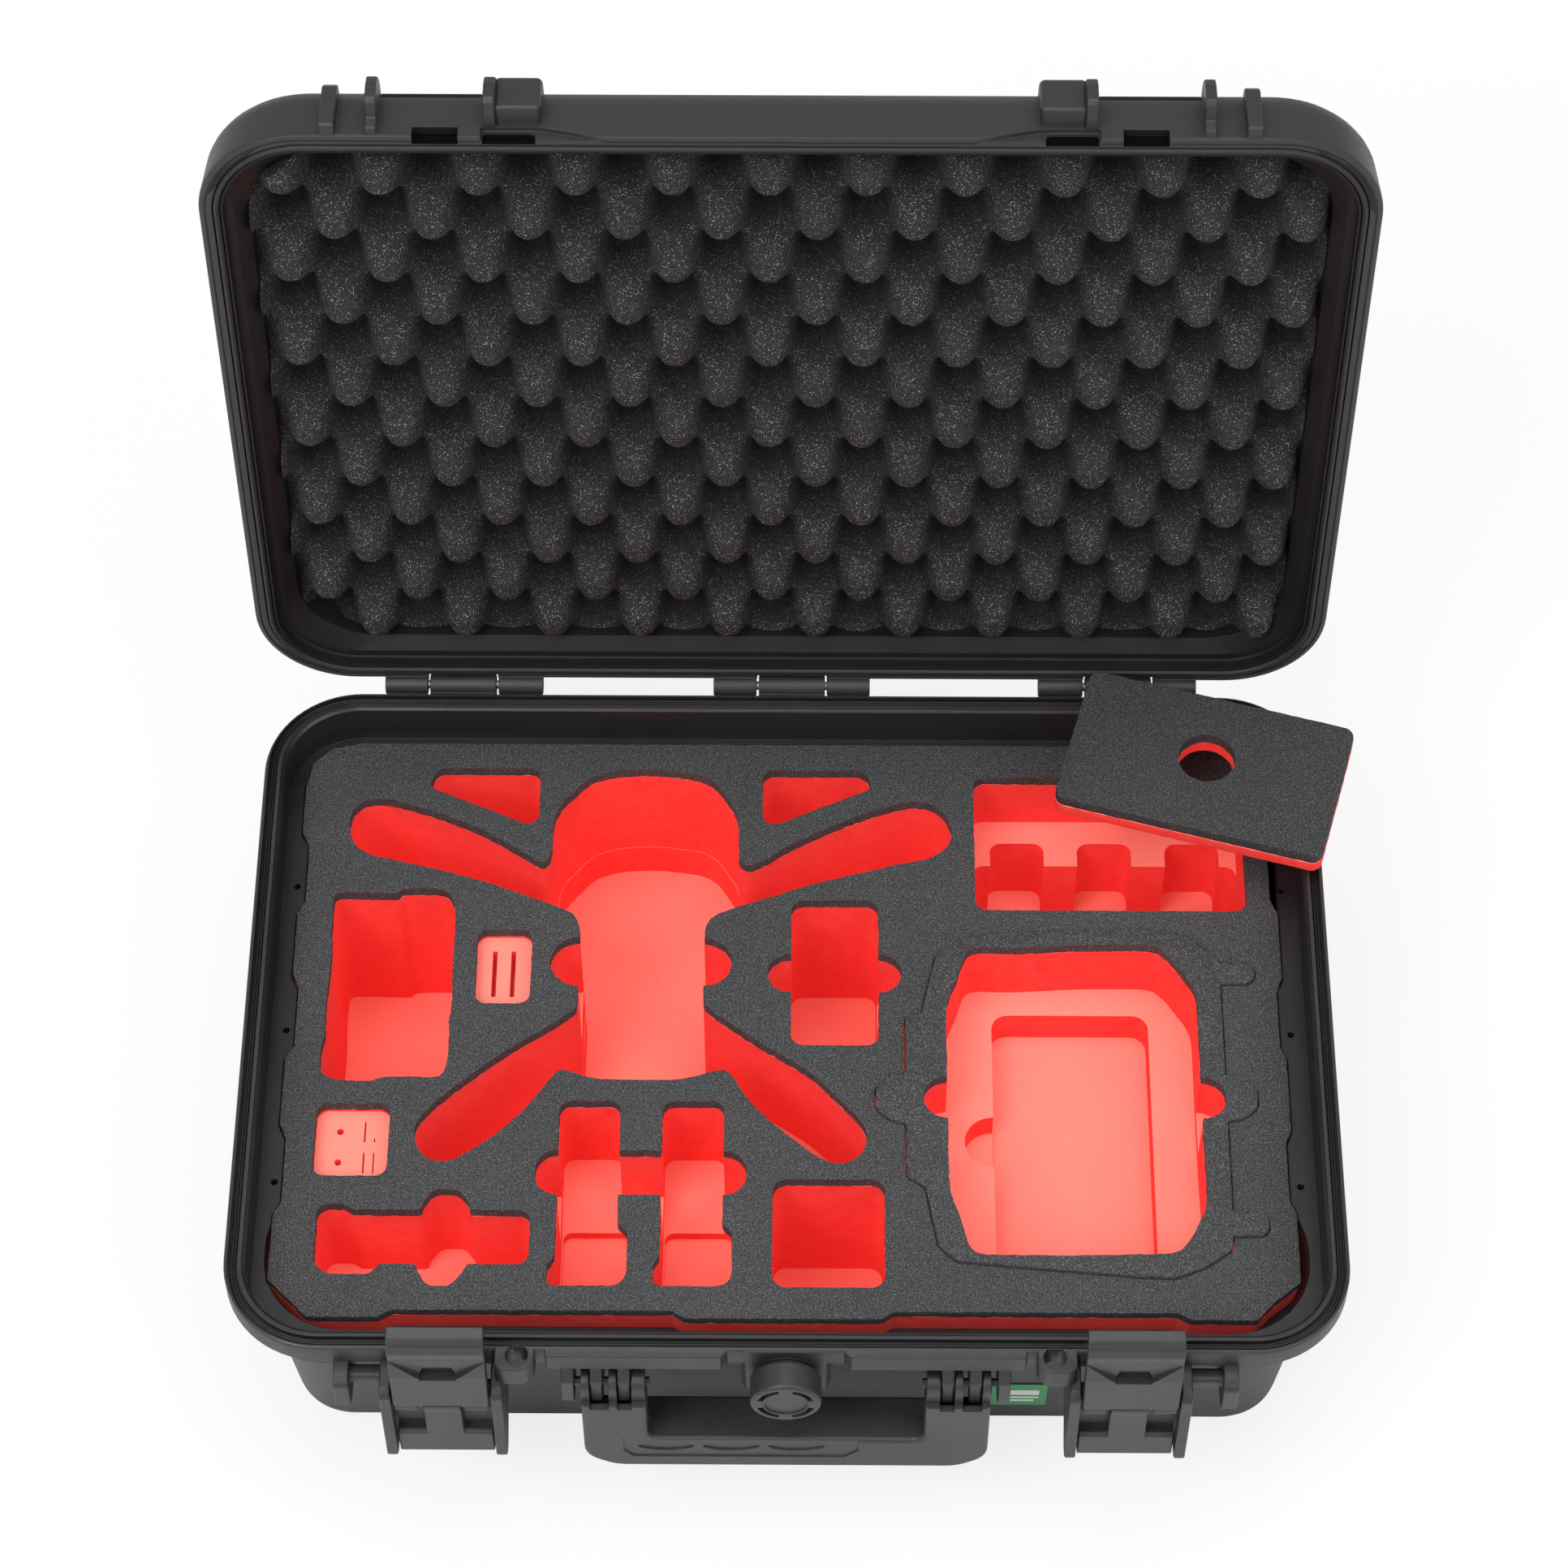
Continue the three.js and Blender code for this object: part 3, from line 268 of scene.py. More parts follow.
def ring_sweep(half_x, half_y, radius, profile, steps):
    """closed band round a rounded rectangle: profile points are (inset, z)"""
    verts = []
    for inset, z in profile:
        corner = max(radius - inset, 1.0)
        ring = centred(half_x - inset, half_y - inset, corner, steps)
        verts += [(x, y, z) for x, y in ring]
    count = len(ring)
    faces = []
    for i in range(len(profile)):
        j = (i + 1) % len(profile)
        for k in range(count):
            ahead = (k + 1) % count
            faces.append(
                (i * count + k, i * count + ahead, j * count + ahead, j * count + k)
            )
    if signed_area(profile) > 0:  # keep the faces turned outward
        faces = [face[::-1] for face in faces]
    return verts, faces


# ------------------------------------------------------------------ Blender objects
def mesh_object(name, solid, scale=MM):
    verts, faces = solid
    mesh = bpy.data.meshes.new(name)
    mesh.from_pydata([(x * scale, y * scale, z * scale) for x, y, z in verts], [], faces)
    mesh.validate()
    if any(len(face) > 4 for face in faces):
        work = bmesh.new()
        work.from_mesh(mesh)
        large = [face for face in work.faces if len(face.verts) > 4]
        bmesh.ops.triangulate(work, faces=large, ngon_method="BEAUTY")
        work.to_mesh(mesh)
        work.free()
    obj = bpy.data.objects.new(name, mesh)
    bpy.context.collection.objects.link(obj)
    return obj


class Moulding:
    """first solid, then the solids joined to it and cut from it, in order"""

    def __init__(self, first):
        self.first = first
        self.work = []

    def add(self, *solids):
        self.work += [("UNION", solid) for solid in solids]

    def cut(self, *solids):
        self.work += [("DIFFERENCE", solid) for solid in solids]

    def build(self, name):
        # worked in millimetres, so the solver keeps its precision, and scaled down after
        obj = mesh_object(name, self.first, 1.0)
        tools = []
        for operation, solid in self.work:
            tools.append(mesh_object("tool", solid, 1.0))
            modifier = obj.modifiers.new("boolean", "BOOLEAN")
            modifier.object = tools[-1]
            modifier.operation = operation
            modifier.solver = "MANIFOLD"
        bpy.context.view_layer.update()
        graph = bpy.context.evaluated_depsgraph_get()
        mesh = bpy.data.meshes.new_from_object(obj.evaluated_get(graph))
        mesh.name = name
        obj.modifiers.clear()
        old = obj.data
        obj.data = mesh
        bpy.data.meshes.remove(old)
        for tool in tools:
            tool_mesh = tool.data
            bpy.data.objects.remove(tool)
            bpy.data.meshes.remove(tool_mesh)
        mesh.transform(Matrix.Scale(MM, 4))
        if len(mesh.polygons) == 0:
            raise RuntimeError(name + " came out empty")
        return obj


def shade(obj, angle, weighted=True):
    """smooth shading, with edges sharp above the angle in degrees"""
    mesh = obj.data
    mesh.polygons.foreach_set("use_smooth", [True] * len(mesh.polygons))
    mesh.set_sharp_from_angle(angle=math.radians(angle))
    if weighted:
        modifier = obj.modifiers.new("normals", "WEIGHTED_NORMAL")
        modifier.keep_sharp = True
        modifier.weight = 60
    mesh.update()


def finish(obj, body, mats, node=None, place=None):
    mesh = obj.data
    if place is not None:
        mesh.transform(place)
    # clearing the materials resets the faces' indices
    picked = [face.material_index for face in mesh.polygons]
    mesh.materials.clear()
    for mat in mats:
        mesh.materials.append(mat)
    mesh.polygons.foreach_set("material_index", [min(k, len(mats) - 1) for k in picked])
    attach(obj, body)
    if node:
        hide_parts(node)


def finish_foam(part, name, body, mat, node, place=None):
    obj = part.build(name)
    shade(obj, 40, weighted=False)
    finish(obj, body, [mat], node, place)


def finish_hardware(part, name, body, node, angle=30):
    obj = part.build(name)
    shade(obj, angle)
    finish(obj, body, [HARD], node)


# ------------------------------------------------------------------ materials
def srgb(*colour):
    """linear colour from 0-255 channels"""
    return tuple(
        v / 255 / 12.92 if v / 255 <= 0.04045 else ((v / 255 + 0.055) / 1.055) ** 2.4
        for v in colour
    )


def tint(colour, factor):
    return tuple(v * factor for v in colour)


class Mat:
    """material under construction: a principled shader and the nodes that feed it"""

    def __init__(self, name):
        self.material = bpy.data.materials.new(name)
        self.material.use_nodes = True
        self.tree = self.material.node_tree
        self.tree.nodes.clear()
        self.output = self.node("OutputMaterial").inputs[0]
        self.shader = self.node("BsdfPrincipled")
        self.feed(self.output, self.shader.outputs[0])
        self.coords = self.node("TexCoord").outputs["Object"]

    def feed(self, socket, value):
        """link an output to the socket, or set its number or colour"""
        if hasattr(value, "links"):
            self.tree.links.new(value, socket)
        elif socket.type == "RGBA":
            socket.default_value = (*value, 1)
        else:
            socket.default_value = value

    def node(self, kind, inputs={}, **settings):
        made = self.tree.nodes.new("ShaderNode" + kind)
        for key, value in settings.items():
            setattr(made, key, value)
        for key, value in inputs.items():
            self.feed(made.inputs[key], value)
        return made

    def noise(self, scale, detail=2.0, rough=0.5, coords=None):
        inputs = {"Vector": coords or self.coords, "Scale": scale}
        inputs |= {"Detail": detail, "Roughness": rough}
        return self.node("TexNoise", inputs).outputs["Fac"]

    def voronoi(self, scale):
        return self.node("TexVoronoi", {"Vector": self.coords, "Scale": scale})

    def stretched(self, scale):
        return self.node("Mapping", {0: self.coords, "Scale": scale}).outputs[0]

    def split(self, vector):
        return self.node("SeparateXYZ", {0: vector}).outputs

    def dots(self, scale, share, radius):
        """round dots in a share of the cells, 0 to 1"""
        cells = self.voronoi(scale)
        chosen = self.math("LESS_THAN", self.split(cells.outputs["Color"])[0], share)
        dot = self.remap(cells.outputs["Distance"], (radius * 0.5, radius), to=(1.0, 0.0))
        return self.math("MULTIPLY", chosen, dot)

    def ramp(self, fac, stops):
        """colour ramp of (position, colour) stops"""
        made = self.node("ValToRGB")
        elements = made.color_ramp.elements
        while len(elements) > 1:
            elements.remove(elements[-1])
        elements[0].position = stops[0][0]
        elements[0].color = (*stops[0][1], 1)
        for position, colour in stops[1:]:
            elements.new(position).color = (*colour, 1)
        self.feed(made.inputs[0], fac)
        return made.outputs[0]

    def remap(self, fac, source=(0, 1), to=(0, 1)):
        """source range stretched to the other"""
        inputs = {0: fac, 1: source[0], 2: source[1], 3: to[0], 4: to[1]}
        return self.node("MapRange", inputs).outputs[0]

    def math(self, operation, first, second):
        return self.node("Math", {0: first, 1: second}, operation=operation).outputs[0]

    def mix(self, fac, first, second):
        inputs = {0: fac, 6: first, 7: second}
        return self.node("Mix", inputs, data_type="RGBA").outputs[2]

    def bump(self, height, strength, distance, normal=None):
        inputs = {"Strength": strength, "Distance": distance, "Height": height}
        if normal is not None:
            inputs["Normal"] = normal
        return self.node("Bump", inputs).outputs[0]

    def bevel(self, radius):
        return self.node("Bevel", {"Radius": radius}, samples=4).outputs[0]

    def set(self, **values):
        for key, value in values.items():
            self.feed(self.shader.inputs[key.replace("_", " ")], value)
        return self.material


def plastic(name, colour, rough, grain=0.25, bevel=0.0006, scuff=0.5, spec=0.5):
    """moulded plastic: broad wear, mottling and fine grain, edges bevelled by shading"""
    mat = Mat(name)
    base = srgb(*colour)
    wear = mat.noise(scale=14, detail=3, rough=0.55)
    fine = mat.noise(scale=2600, detail=1.5, rough=0.6)
    mottle = mat.noise(scale=420, detail=3, rough=0.6)
    worn = mat.remap(wear, (0.35, 0.7), to=(-scuff * 0.12, scuff * 0.12))
    tone = mat.mix(mat.remap(wear, (0.3, 0.7)), tint(base, factor=0.86), tint(base, factor=1.16))
    painted_lit_pale = mat.remap(mottle, (0.35, 0.75), to=(0.0, 0.25))
    tone = mat.mix(painted_lit_pale, tone, tint(base, factor=1.35))
    sheen = mat.remap(mottle, (0.2, 0.8), to=(rough - 0.05, rough + 0.07))
    sheen = mat.math("ADD", sheen, worn)
    normal = mat.bevel(bevel) if bevel else None
    normal = mat.bump(mottle, strength=0.12, distance=0.0004, normal=normal)
    normal = mat.bump(fine, strength=grain, distance=0.00012, normal=normal)
    return mat.set(Base_Color=tone, Roughness=sheen, Normal=normal, Specular_IOR_Level=spec)


def rubber(name):
    mat = Mat(name)
    grain = mat.noise(scale=900, detail=2, rough=0.6)
    return mat.set(
        Base_Color=mat.ramp(grain, [(0.3, srgb(18, 18, 19)), (0.75, srgb(34, 34, 35))]),
        Roughness=mat.remap(grain, to=(0.5, 0.72)),
        Normal=mat.bump(grain, strength=0.15, distance=0.0002),
    )


def steel(name):
    """drawn steel, its grain long in x"""
    mat = Mat(name)
    grain = mat.noise(scale=380, detail=3, rough=0.6, coords=mat.stretched((1, 26, 26)))
    return mat.set(
        Base_Color=mat.ramp(grain, [(0.3, (0.30, 0.30, 0.31)), (0.7, (0.55, 0.55, 0.56))]),
        Metallic=1.0,
        Roughness=mat.remap(grain, to=(0.25, 0.42)),
        Normal=mat.bump(grain, strength=0.1, distance=0.0001),
    )


def black_foam(name, dark, middle, light):
    """closed skin with pale specks"""
    mat = Mat(name)
    cells = mat.voronoi(scale=1500).outputs["Distance"]
    fine = mat.noise(scale=2100, detail=3, rough=0.72)
    lumps = mat.noise(scale=230, detail=2, rough=0.5)
    broad = mat.noise(scale=9, detail=3, rough=0.5)
    # speck: shares of fine noise and cells
    fine_part = mat.math("MULTIPLY", fine, 0.75)
    speck = mat.math("ADD", fine_part, mat.math("MULTIPLY", cells, 0.35))
    dark = srgb(*dark)
    tone = mat.ramp(speck, [(0.38, dark), (0.55, srgb(*middle)), (0.72, srgb(*light))])
    tone = mat.mix(mat.remap(broad, (0.3, 0.7), to=(0.0, 0.18)), tone, dark)
    normal = mat.bump(speck, strength=0.75, distance=0.00045)
    normal = mat.bump(lumps, strength=0.25, distance=0.0008, normal=normal)
    sheen = mat.remap(fine, (0.2, 0.8), to=(0.62, 0.9))
    return mat.set(Base_Color=tone, Roughness=sheen, Normal=normal, Specular_IOR_Level=0.35)


def red_foam(name):
    """cut open-cell foam, streaked down its walls"""
    mat = Mat(name)
    # pale is painted light for faces that look up; deep is the foam's own red, which the walls keep
    # as painted shade
    painted_lit_pale, deep = srgb(255, 150, 134), srgb(246, 56, 53)
    fine = mat.noise(scale=1300, detail=3, rough=0.7)
    lumps = mat.noise(scale=160, detail=3, rough=0.6)
    broad = mat.noise(scale=16, detail=3, rough=0.5)
    pores = mat.voronoi(scale=640).outputs["Distance"]
    streak = mat.noise(scale=420, detail=2, rough=0.6, coords=mat.stretched((1, 1, 0.12)))
    # painted light: cut faces that look up are painted paler, as if lit from above, and the walls
    # deeper red, as if in shade
    upward = mat.split(mat.node("NewGeometry").outputs["Normal"])[2]
    tone = mat.mix(mat.remap(upward, (0.35, 0.8)), deep, painted_lit_pale)
    tone = mat.mix(mat.remap(broad, (0.3, 0.7), to=(0.0, 0.10)), tone, deep)
    tone = mat.mix(mat.remap(fine, (0.25, 0.75), to=(0.0, 0.22)), tone, deep)
    tone = mat.mix(mat.remap(lumps, (0.35, 0.75), to=(0.0, 0.12)), tone, srgb(255, 140, 124))
    # surface height: shares of fine noise and pores
    fine_part = mat.math("MULTIPLY", fine, 0.6)
    height = mat.math("ADD", fine_part, mat.math("MULTIPLY", pores, 0.4))
    normal = mat.bump(height, strength=0.5, distance=0.0004)
    normal = mat.bump(streak, strength=0.25, distance=0.0006, normal=normal)
    normal = mat.bump(lumps, strength=0.2, distance=0.0012, normal=normal)
    return mat.set(
        Base_Color=tone,
        Roughness=0.88,
        Normal=normal,
        Specular_IOR_Level=0.2,
        # painted light: a faint red glow lifts the shaded walls, standing in for light that passes
        # through the thin foam
        Emission_Color=srgb(255, 96, 86),
        Emission_Strength=0.07,
    )


def egg_foam(name):
    """convoluted foam with bright specks painted on as glints, and painted shade in its pits from the
    mesh's pit attribute
    """
    mat = Mat(name)
    fine = mat.noise(scale=1500, detail=2, rough=0.75)
    lumps = mat.noise(scale=320, detail=3, rough=0.6)
    greys = [(0.32, srgb(18, 18, 19)), (0.55, srgb(40, 40, 41)), (0.75, srgb(66, 66, 68))]
    tone = mat.ramp(fine, greys)
    # painted glints: two sets of bright dots stand in for small highlights on the foam cells
    tone = mat.mix(mat.dots(scale=2000, share=0.14, radius=0.44), tone, srgb(190, 190, 192))
    tone = mat.mix(mat.dots(scale=3000, share=0.20, radius=0.42), tone, srgb(115, 115, 117))
    # painted shade: the pits are darkened almost to black from a per-vertex value
    painted_pit_shade = mat.node("Attribute", attribute_name="painted_pit_shade").outputs["Fac"]
    tone = mat.mix(mat.remap(painted_pit_shade, (0.15, 0.85), to=(0.0, 0.82)), tone, srgb(5, 5, 5))
    normal = mat.bump(fine, strength=0.9, distance=0.0006)
    normal = mat.bump(lumps, strength=0.4, distance=0.0012, normal=normal)
    sheen = mat.remap(fine, (0.3, 0.8), to=(0.85, 0.6))
    return mat.set(Base_Color=tone, Roughness=sheen, Normal=normal, Specular_IOR_Level=0.3)


def label_film(name):
    mat = Mat(name)
    cloud = mat.noise(scale=500, detail=2, rough=0.5)
    mixed = mat.remap(cloud, (0.3, 0.7), to=(0.0, 0.5))
    return mat.set(
        Base_Color=mat.mix(mixed, srgb(20, 128, 66), srgb(34, 146, 80)),
        Roughness=mat.remap(cloud, to=(0.28, 0.4)),
        Normal=mat.bump(cloud, strength=0.05, distance=0.0001),
    )


SHELL = plastic("shell_plastic", colour=(38, 38, 40), rough=0.46, grain=0.35)
HARD = plastic("hardware_plastic", colour=(41, 41, 43), rough=0.43, grain=0.18, bevel=0.0005)
INNER = dict(grain=0.10, bevel=0.0005, scuff=0.35)  # smoother finish inside
GLOSS = plastic("inner_plastic", colour=(33, 33, 35), rough=0.34, spec=0.45, **INNER)
LID_INNER = plastic("lid_inner_plastic", colour=(26, 26, 27), rough=0.42, spec=0.2, **INNER)
RUBBER = rubber("seal_rubber")
STEEL = steel("pin_steel")
DARK_PIN = plastic(
    "pin_blackened", colour=(26, 26, 27), rough=0.35, grain=0.1, bevel=None, scuff=0.3
)
TOP_FOAM = black_foam(
    "black_foam_skin", dark=(26, 26, 27), middle=(62, 62, 63), light=(108, 108, 110)
)
# painted shade: a near-black matte plastic laid on the recess backs, where there is only shade
PAINTED_SHADE = plastic(
    "painted_shade_recess_plastic", colour=(4, 4, 4), rough=0.8, grain=0.05, bevel=None, scuff=0.1, spec=0.06
)
PLATE_FOAM = black_foam(
    "black_foam_plate", dark=(20, 20, 21), middle=(52, 52, 53), light=(94, 94, 96)
)
RED = red_foam("red_foam")
EGG = egg_foam("lid_foam_black")
LABEL = label_film("label_green")
WHITE_BAR = plastic(
    "label_white", colour=(200, 206, 202), rough=0.4, grain=0.05, bevel=None, scuff=0.2
)


# ------------------------------------------------------------------ foam outlines
# corner tables are (x, y) or (x, y, radius), curve tables are (x, y)
FOAM_OUT = rounded(
    [
        (-189, 149), (-203, 146), (-211, 138), (-213.5, 126), (-213.5, 101, 2), (-210, 94, 2),
        (-210, 65, 2), (-213, 59, 2), (-213, 28, 2), (-210, 21, 2), (-210, -8, 2),
        (-213.5, -14, 2), (-213.5, -46, 2), (-210.5, -53, 2), (-210.5, -83, 2), (-213.5, -89, 2),
        (-213.8, -120, 2), (-205, -128.5, 6), (-197, -137, 2), (-167.5, -137, 3),
        (-162, -133.6, 3), (-47, -133.6, 3), (-41.5, -137, 3), (39, -137, 3), (44, -133.6, 3),
        (160.5, -133.6, 3), (166, -136.6, 3), (193, -136.6, 2), (200, -128.5, 6),
        (211.6, -119, 2), (211.6, -86, 2), (209, -80, 2), (209, -53, 2), (211.4, -47, 2),
        (211.4, -12, 2), (209, -6, 2), (209, 22, 2), (211.6, 28, 2), (211.6, 62, 2), (209, 68, 2),
        (209, 94, 2), (212, 101, 2), (212, 126), (209.5, 138), (201.5, 146), (188, 149),
    ],
    4,
)
DRONE = [
    (-103.9, 92.9), (-103.6, 107.1), (-100.7, 115.7), (-96.4, 121.4), (-89.3, 129.3),
    (-82.1, 132.9), (-73.6, 134.7), (-60.7, 135.3), (-50, 134.2), (-39.3, 132.1), (-32.1, 127.1),
    (-27.1, 119.3), (-23.6, 112.9), (-22.4, 107.1), (-22.1, 95.0), (-22.1, 88.6), (-20.7, 86.4),
    (-17.1, 84.6), (-10.7, 87.9), (-5, 92.0), (0.7, 95.6), (7.9, 99.9), (20.7, 106.6),
    (30.7, 111.2), (40.7, 115), (52.1, 118.3), (57.9, 118.3), (63.6, 116.4), (67.9, 112.1),
    (70, 107.1), (70.9, 100.7), (68.6, 95), (63.6, 90.4), (57.9, 87.9), (45, 85), (35, 82),
    (22.1, 78.6), (10, 75.0), (2.1, 72.2), (-5, 69.4), (-13.6, 66.4), (-22.1, 63.4), (-30, 59.9),
    (-34.3, 56.4), (-36.4, 50), (-36.4, 35), (-36.4, 16.4), (-34.3, 12.1), (-28.6, 7.1),
    (-19.3, 0), (-12.1, -5.2), (-5, -9.8), (2.1, -14.6), (9.3, -19.9), (15, -25.4),
    (20.7, -31.8), (25.5, -37.0), (29.9, -42.4), (32.9, -48.1), (33.1, -53.6), (30.7, -59.3),
    (26.4, -62.9), (20.7, -64), (13.6, -61.4), (8.0, -57.2), (0.7, -50.9), (-6.5, -44.6),
    (-13.6, -37.0), (-19.3, -29.3), (-23.6, -21.9), (-27.1, -19.0), (-32.1, -19.6),
    (-39.3, -22.1), (-47.9, -23.7), (-62, -23.9), (-76.4, -23.7), (-85, -22.6), (-90.7, -20.4),
    (-95.7, -19.0), (-99.3, -21.5), (-105, -30.3), (-112.1, -39.8), (-120, -48.2), (-126, -53.4),
    (-133.6, -59.0), (-139.3, -62.6), (-145, -63.9), (-150.7, -62.1), (-155, -57.1),
    (-156.7, -50.7), (-155.7, -45), (-152.1, -39.3), (-146.4, -32.9), (-139.3, -26.3),
    (-132.1, -20), (-125, -13.9), (-115.5, -6.6), (-105, 0.6), (-96.4, 7.0), (-91.7, 11.1),
    (-90.3, 15.0), (-90.3, 35), (-90.3, 50), (-91.6, 56.2), (-95, 60.3), (-101, 63.2),
    (-110.7, 67.2), (-120, 70.9), (-130, 74.8), (-140, 78.1), (-150, 81.0), (-160, 83.6),
    (-169.9, 86.1), (-180.0, 88.7), (-186, 91.3), (-190.6, 96), (-192.9, 103.6), (-192.4, 110.7),
    (-189.3, 116.0), (-183.6, 118.8), (-177.9, 118.9), (-169.7, 116.9), (-160.3, 113.9),
    (-150.1, 109.9), (-139.3, 105.1), (-129.1, 99.4), (-119.3, 93.2), (-112.9, 88.6),
    (-108.6, 86.0), (-105.2, 87.4),
]
# the deeper part under the drone's body, without the arms
DRONE_BODY = smooth_closed(
    [
        (-103.7, 90), (-103.4, 107.1), (-100.5, 115.5), (-96.2, 121.2), (-89.2, 129.1),
        (-82.0, 132.7), (-73.6, 134.5), (-60.7, 135.1), (-50, 134), (-39.4, 131.9),
        (-32.3, 126.9), (-27.3, 119.1), (-23.8, 112.7), (-22.6, 107.1), (-22.3, 88), (-22.6, 78),
        (-24.5, 70), (-29.5, 63), (-34.5, 57), (-36.5, 50), (-36.5, 16), (-36.5, -5),
        (-36.8, -17), (-39.3, -21.9), (-47.9, -23.5), (-62, -23.7), (-76.4, -23.5), (-85, -22.4),
        (-89.8, -18), (-90.2, -5), (-90.2, 16), (-90.2, 50), (-92.5, 57), (-97, 63),
        (-101.5, 70), (-103.3, 78),
    ]
)
CHARGER = [
    (-196.4, 69.0), (-190, 69.6), (-178, 69.4), (-170, 69.4), (-167.9, 71.4), (-160, 71.9),
    (-150.7, 71.5), (-146.3, 67.5), (-144.4, 58), (-144.3, 35.7), (-144, 12.9), (-144.8, 5.1),
    (-144.3, -3), (-144.5, -14.3), (-146.0, -20.6), (-149.6, -23), (-160, -22.8),
    (-170.7, -23.2), (-175, -24.6), (-180.7, -25.1), (-190.7, -24.3), (-195.7, -22.6),
    (-198.2, -18.6), (-198.3, -9), (-197.3, 0), (-197.7, 14), (-197.0, 28.6), (-196.9, 40),
    (-197.6, 52), (-197.6, 62.8),
]
CROSS = [
    (-195.3, -84.3, 5), (-184, -84.3, 3), (-180, -86.9, 4), (-152, -86.9, 2), (-151.2, -83, 3),
    (-147, -77.2, 5), (-137, -77.2, 5), (-132.4, -83, 3), (-131.6, -86.9, 2), (-106.6, -86.9, 5),
    (-106.6, -112.3, 5), (-131.6, -112.3, 2), (-134, -117, 4), (-138.6, -122.6, 5),
    (-148, -122.6, 5), (-151.6, -116.5, 4), (-152.8, -112.3, 2), (-168, -112.3, 2),
    (-172, -117.2, 4), (-190, -117.2, 8), (-195.3, -112, 6),
]
INSERT = rounded(
    [
        (63, 38, 4), (74, 47.5, 8), (97, 50.2, 10), (157, 52, 12), (172, 48.5, 12),
        (182, 38.5, 4), (186, 35.2, 2), (199.7, 35.2, 5), (199.7, 24.5, 5), (184.9, 24.5),
        (184.9, -20.6), (191, -22, 3), (197.9, -27, 5), (197.9, -37, 5), (191, -42.3, 3),
        (184.9, -43.3), (184.9, -86.1), (199.7, -86.1, 5), (199.7, -98.2, 5), (184.8, -98.2),
        (183.5, -105, 4), (172, -113, 8), (160, -117.9, 8), (145, -117.3, 8), (70, -110.6, 8),
        (62.5, -103, 4), (57.5, -75.5, 3), (49.7, -70.5, 3), (49.7, -45.3), (43.5, -43.6, 3),
        (36.9, -38, 5), (36.9, -28, 5), (43.5, -21.4, 3), (49.7, -20.2), (49.7, 7.8, 3),
        (56.5, 9, 3),
    ],
    6,
)
INSERT_HOLE = grown(INSERT, 0.45)
CONTROLLER = smooth_closed(
    [
        (77.1, 40.3), (82.1, 41.9), (91, 41.8), (100.7, 41.9), (112, 42.6), (123.6, 43.3),
        (140, 43.6), (155.7, 43.3), (160.7, 40.7), (165, 35.7), (168.6, 30), (172.1, 24.3),
        (174.3, 17.1), (174.5, -1), (174.4, -22.1), (174.5, -50), (174.5, -80.6), (170, -93.6),
        (165, -102.1), (159.3, -106.4), (140, -107.3), (116.4, -107.9), (95, -107.8),
        (80.7, -107.4), (76.4, -105), (74.3, -100), (72.1, -91.4), (69.3, -82.9), (67.7, -75.1),
        (67.4, -60), (67.4, -42.9), (67.3, -10), (67.3, 9.3), (68.6, 17.9), (72.1, 27.1),
        (74.3, 34.3),
    ]
)
FINGER_LEFT = disc(67.5, -32.6, 10.3, 10.1, 44)
FINGER_RIGHT = disc(174.5, -32.4, 10.2, 10.1, 44)
# (outline, depth) of the stepped recess in the controller insert
CONTROLLER_STEPS = [
    (CONTROLLER, 36.5),
    (rounded([(88, 29.9, 7), (156, 29.9, 7), (156, -107.3), (88, -107.3)]), 54.5),
    (disc(87.6, -33.4, 12, steps=44), 50),
    (FINGER_LEFT, 30),
    (FINGER_RIGHT, 30),
]


def twin_pocket(left, toe_left, toe_bend, toe_right, right):
    """upright slot with a wider toe at its front end"""
    return rounded(
        [
            (left, -34.3, 5), (left, -108, 2), (toe_left, -112.5, 3), (toe_left, -121, 3),
            (toe_bend, -122.1, 3), (toe_right, -122.1, 7), (toe_right, -97, 5), (right, -93, 4),
            (right, -34.3, 5),
        ],
        6,
    )


# (outline, depth) of each pocket in the main foam
POCKETS = [
    # triangles left and right of the drone's back end
    (rounded([(-110, 103.5, 5), (-110, 135.5, 5), (-156, 135.5, 6), (-159, 125.4, 3)]), 45),
    (rounded([(-12, 103.5, 5), (36, 125.3, 3), (33.5, 135, 6), (-12, 135, 5)]), 45),
    (smooth_closed(DRONE, 1.6), 62),
    # finger holes at the drone's sides
    (disc(-90.3, 35, 12.2, steps=48), 45),
    (disc(-36.4, 35, 12, steps=48), 45),
    (smooth_closed(CHARGER), 86),
    # shallow shelves, for two slits and for the cards
    (round_rect(-134.4, -110.7, 13.6, 51, 5), 6.6),
    (round_rect(-198.4, -167.3, -70.9, -36, 5), 6.9),
    (rounded(CROSS, 6), 52),
    # twin slots and the bar across them
    (twin_pocket(-96, -98.9, -95, -66, -70.3), 50.2),
    (twin_pocket(-52.7, -55.3, -51.5, -22.6, -26.7), 50.2),
    (rounded([(-105.4, -58.1, 9.5), (-105.4, -79.3, 9.5), (-17, -79.3, 9.5), (-17, -58.1, 9.5)]), 40),
    (round_rect(-6.1, 40.7, -122.4, -71.7, 6), 77.6),
    # middle pocket and its finger holes
    (round_rect(1, 38.6, -6.4, 66.7, 5.5), 80.4),
    (disc(1, 29.6, 10, 9.7), 42),
    (disc(38.6, 29.6, 9.9, 9.7), 42),
    # battery shelf
    (round_rect(80.7, 198.3, 62.1, 131.7, 5.5), 35.2),
]


def tapered(pts, z):
    """foam outline drawn in towards the floor of the case"""
    drop = (FOAM_TOP - z) / (FOAM_TOP - FOAM_FLOOR)
    scale_x, scale_y, middle = 1 - 0.0375 * drop, 1 - 0.0734 * drop, 6 + 2.5 * drop
    return [(x * scale_x, (y - 6) * scale_y + middle) for x, y in pts]


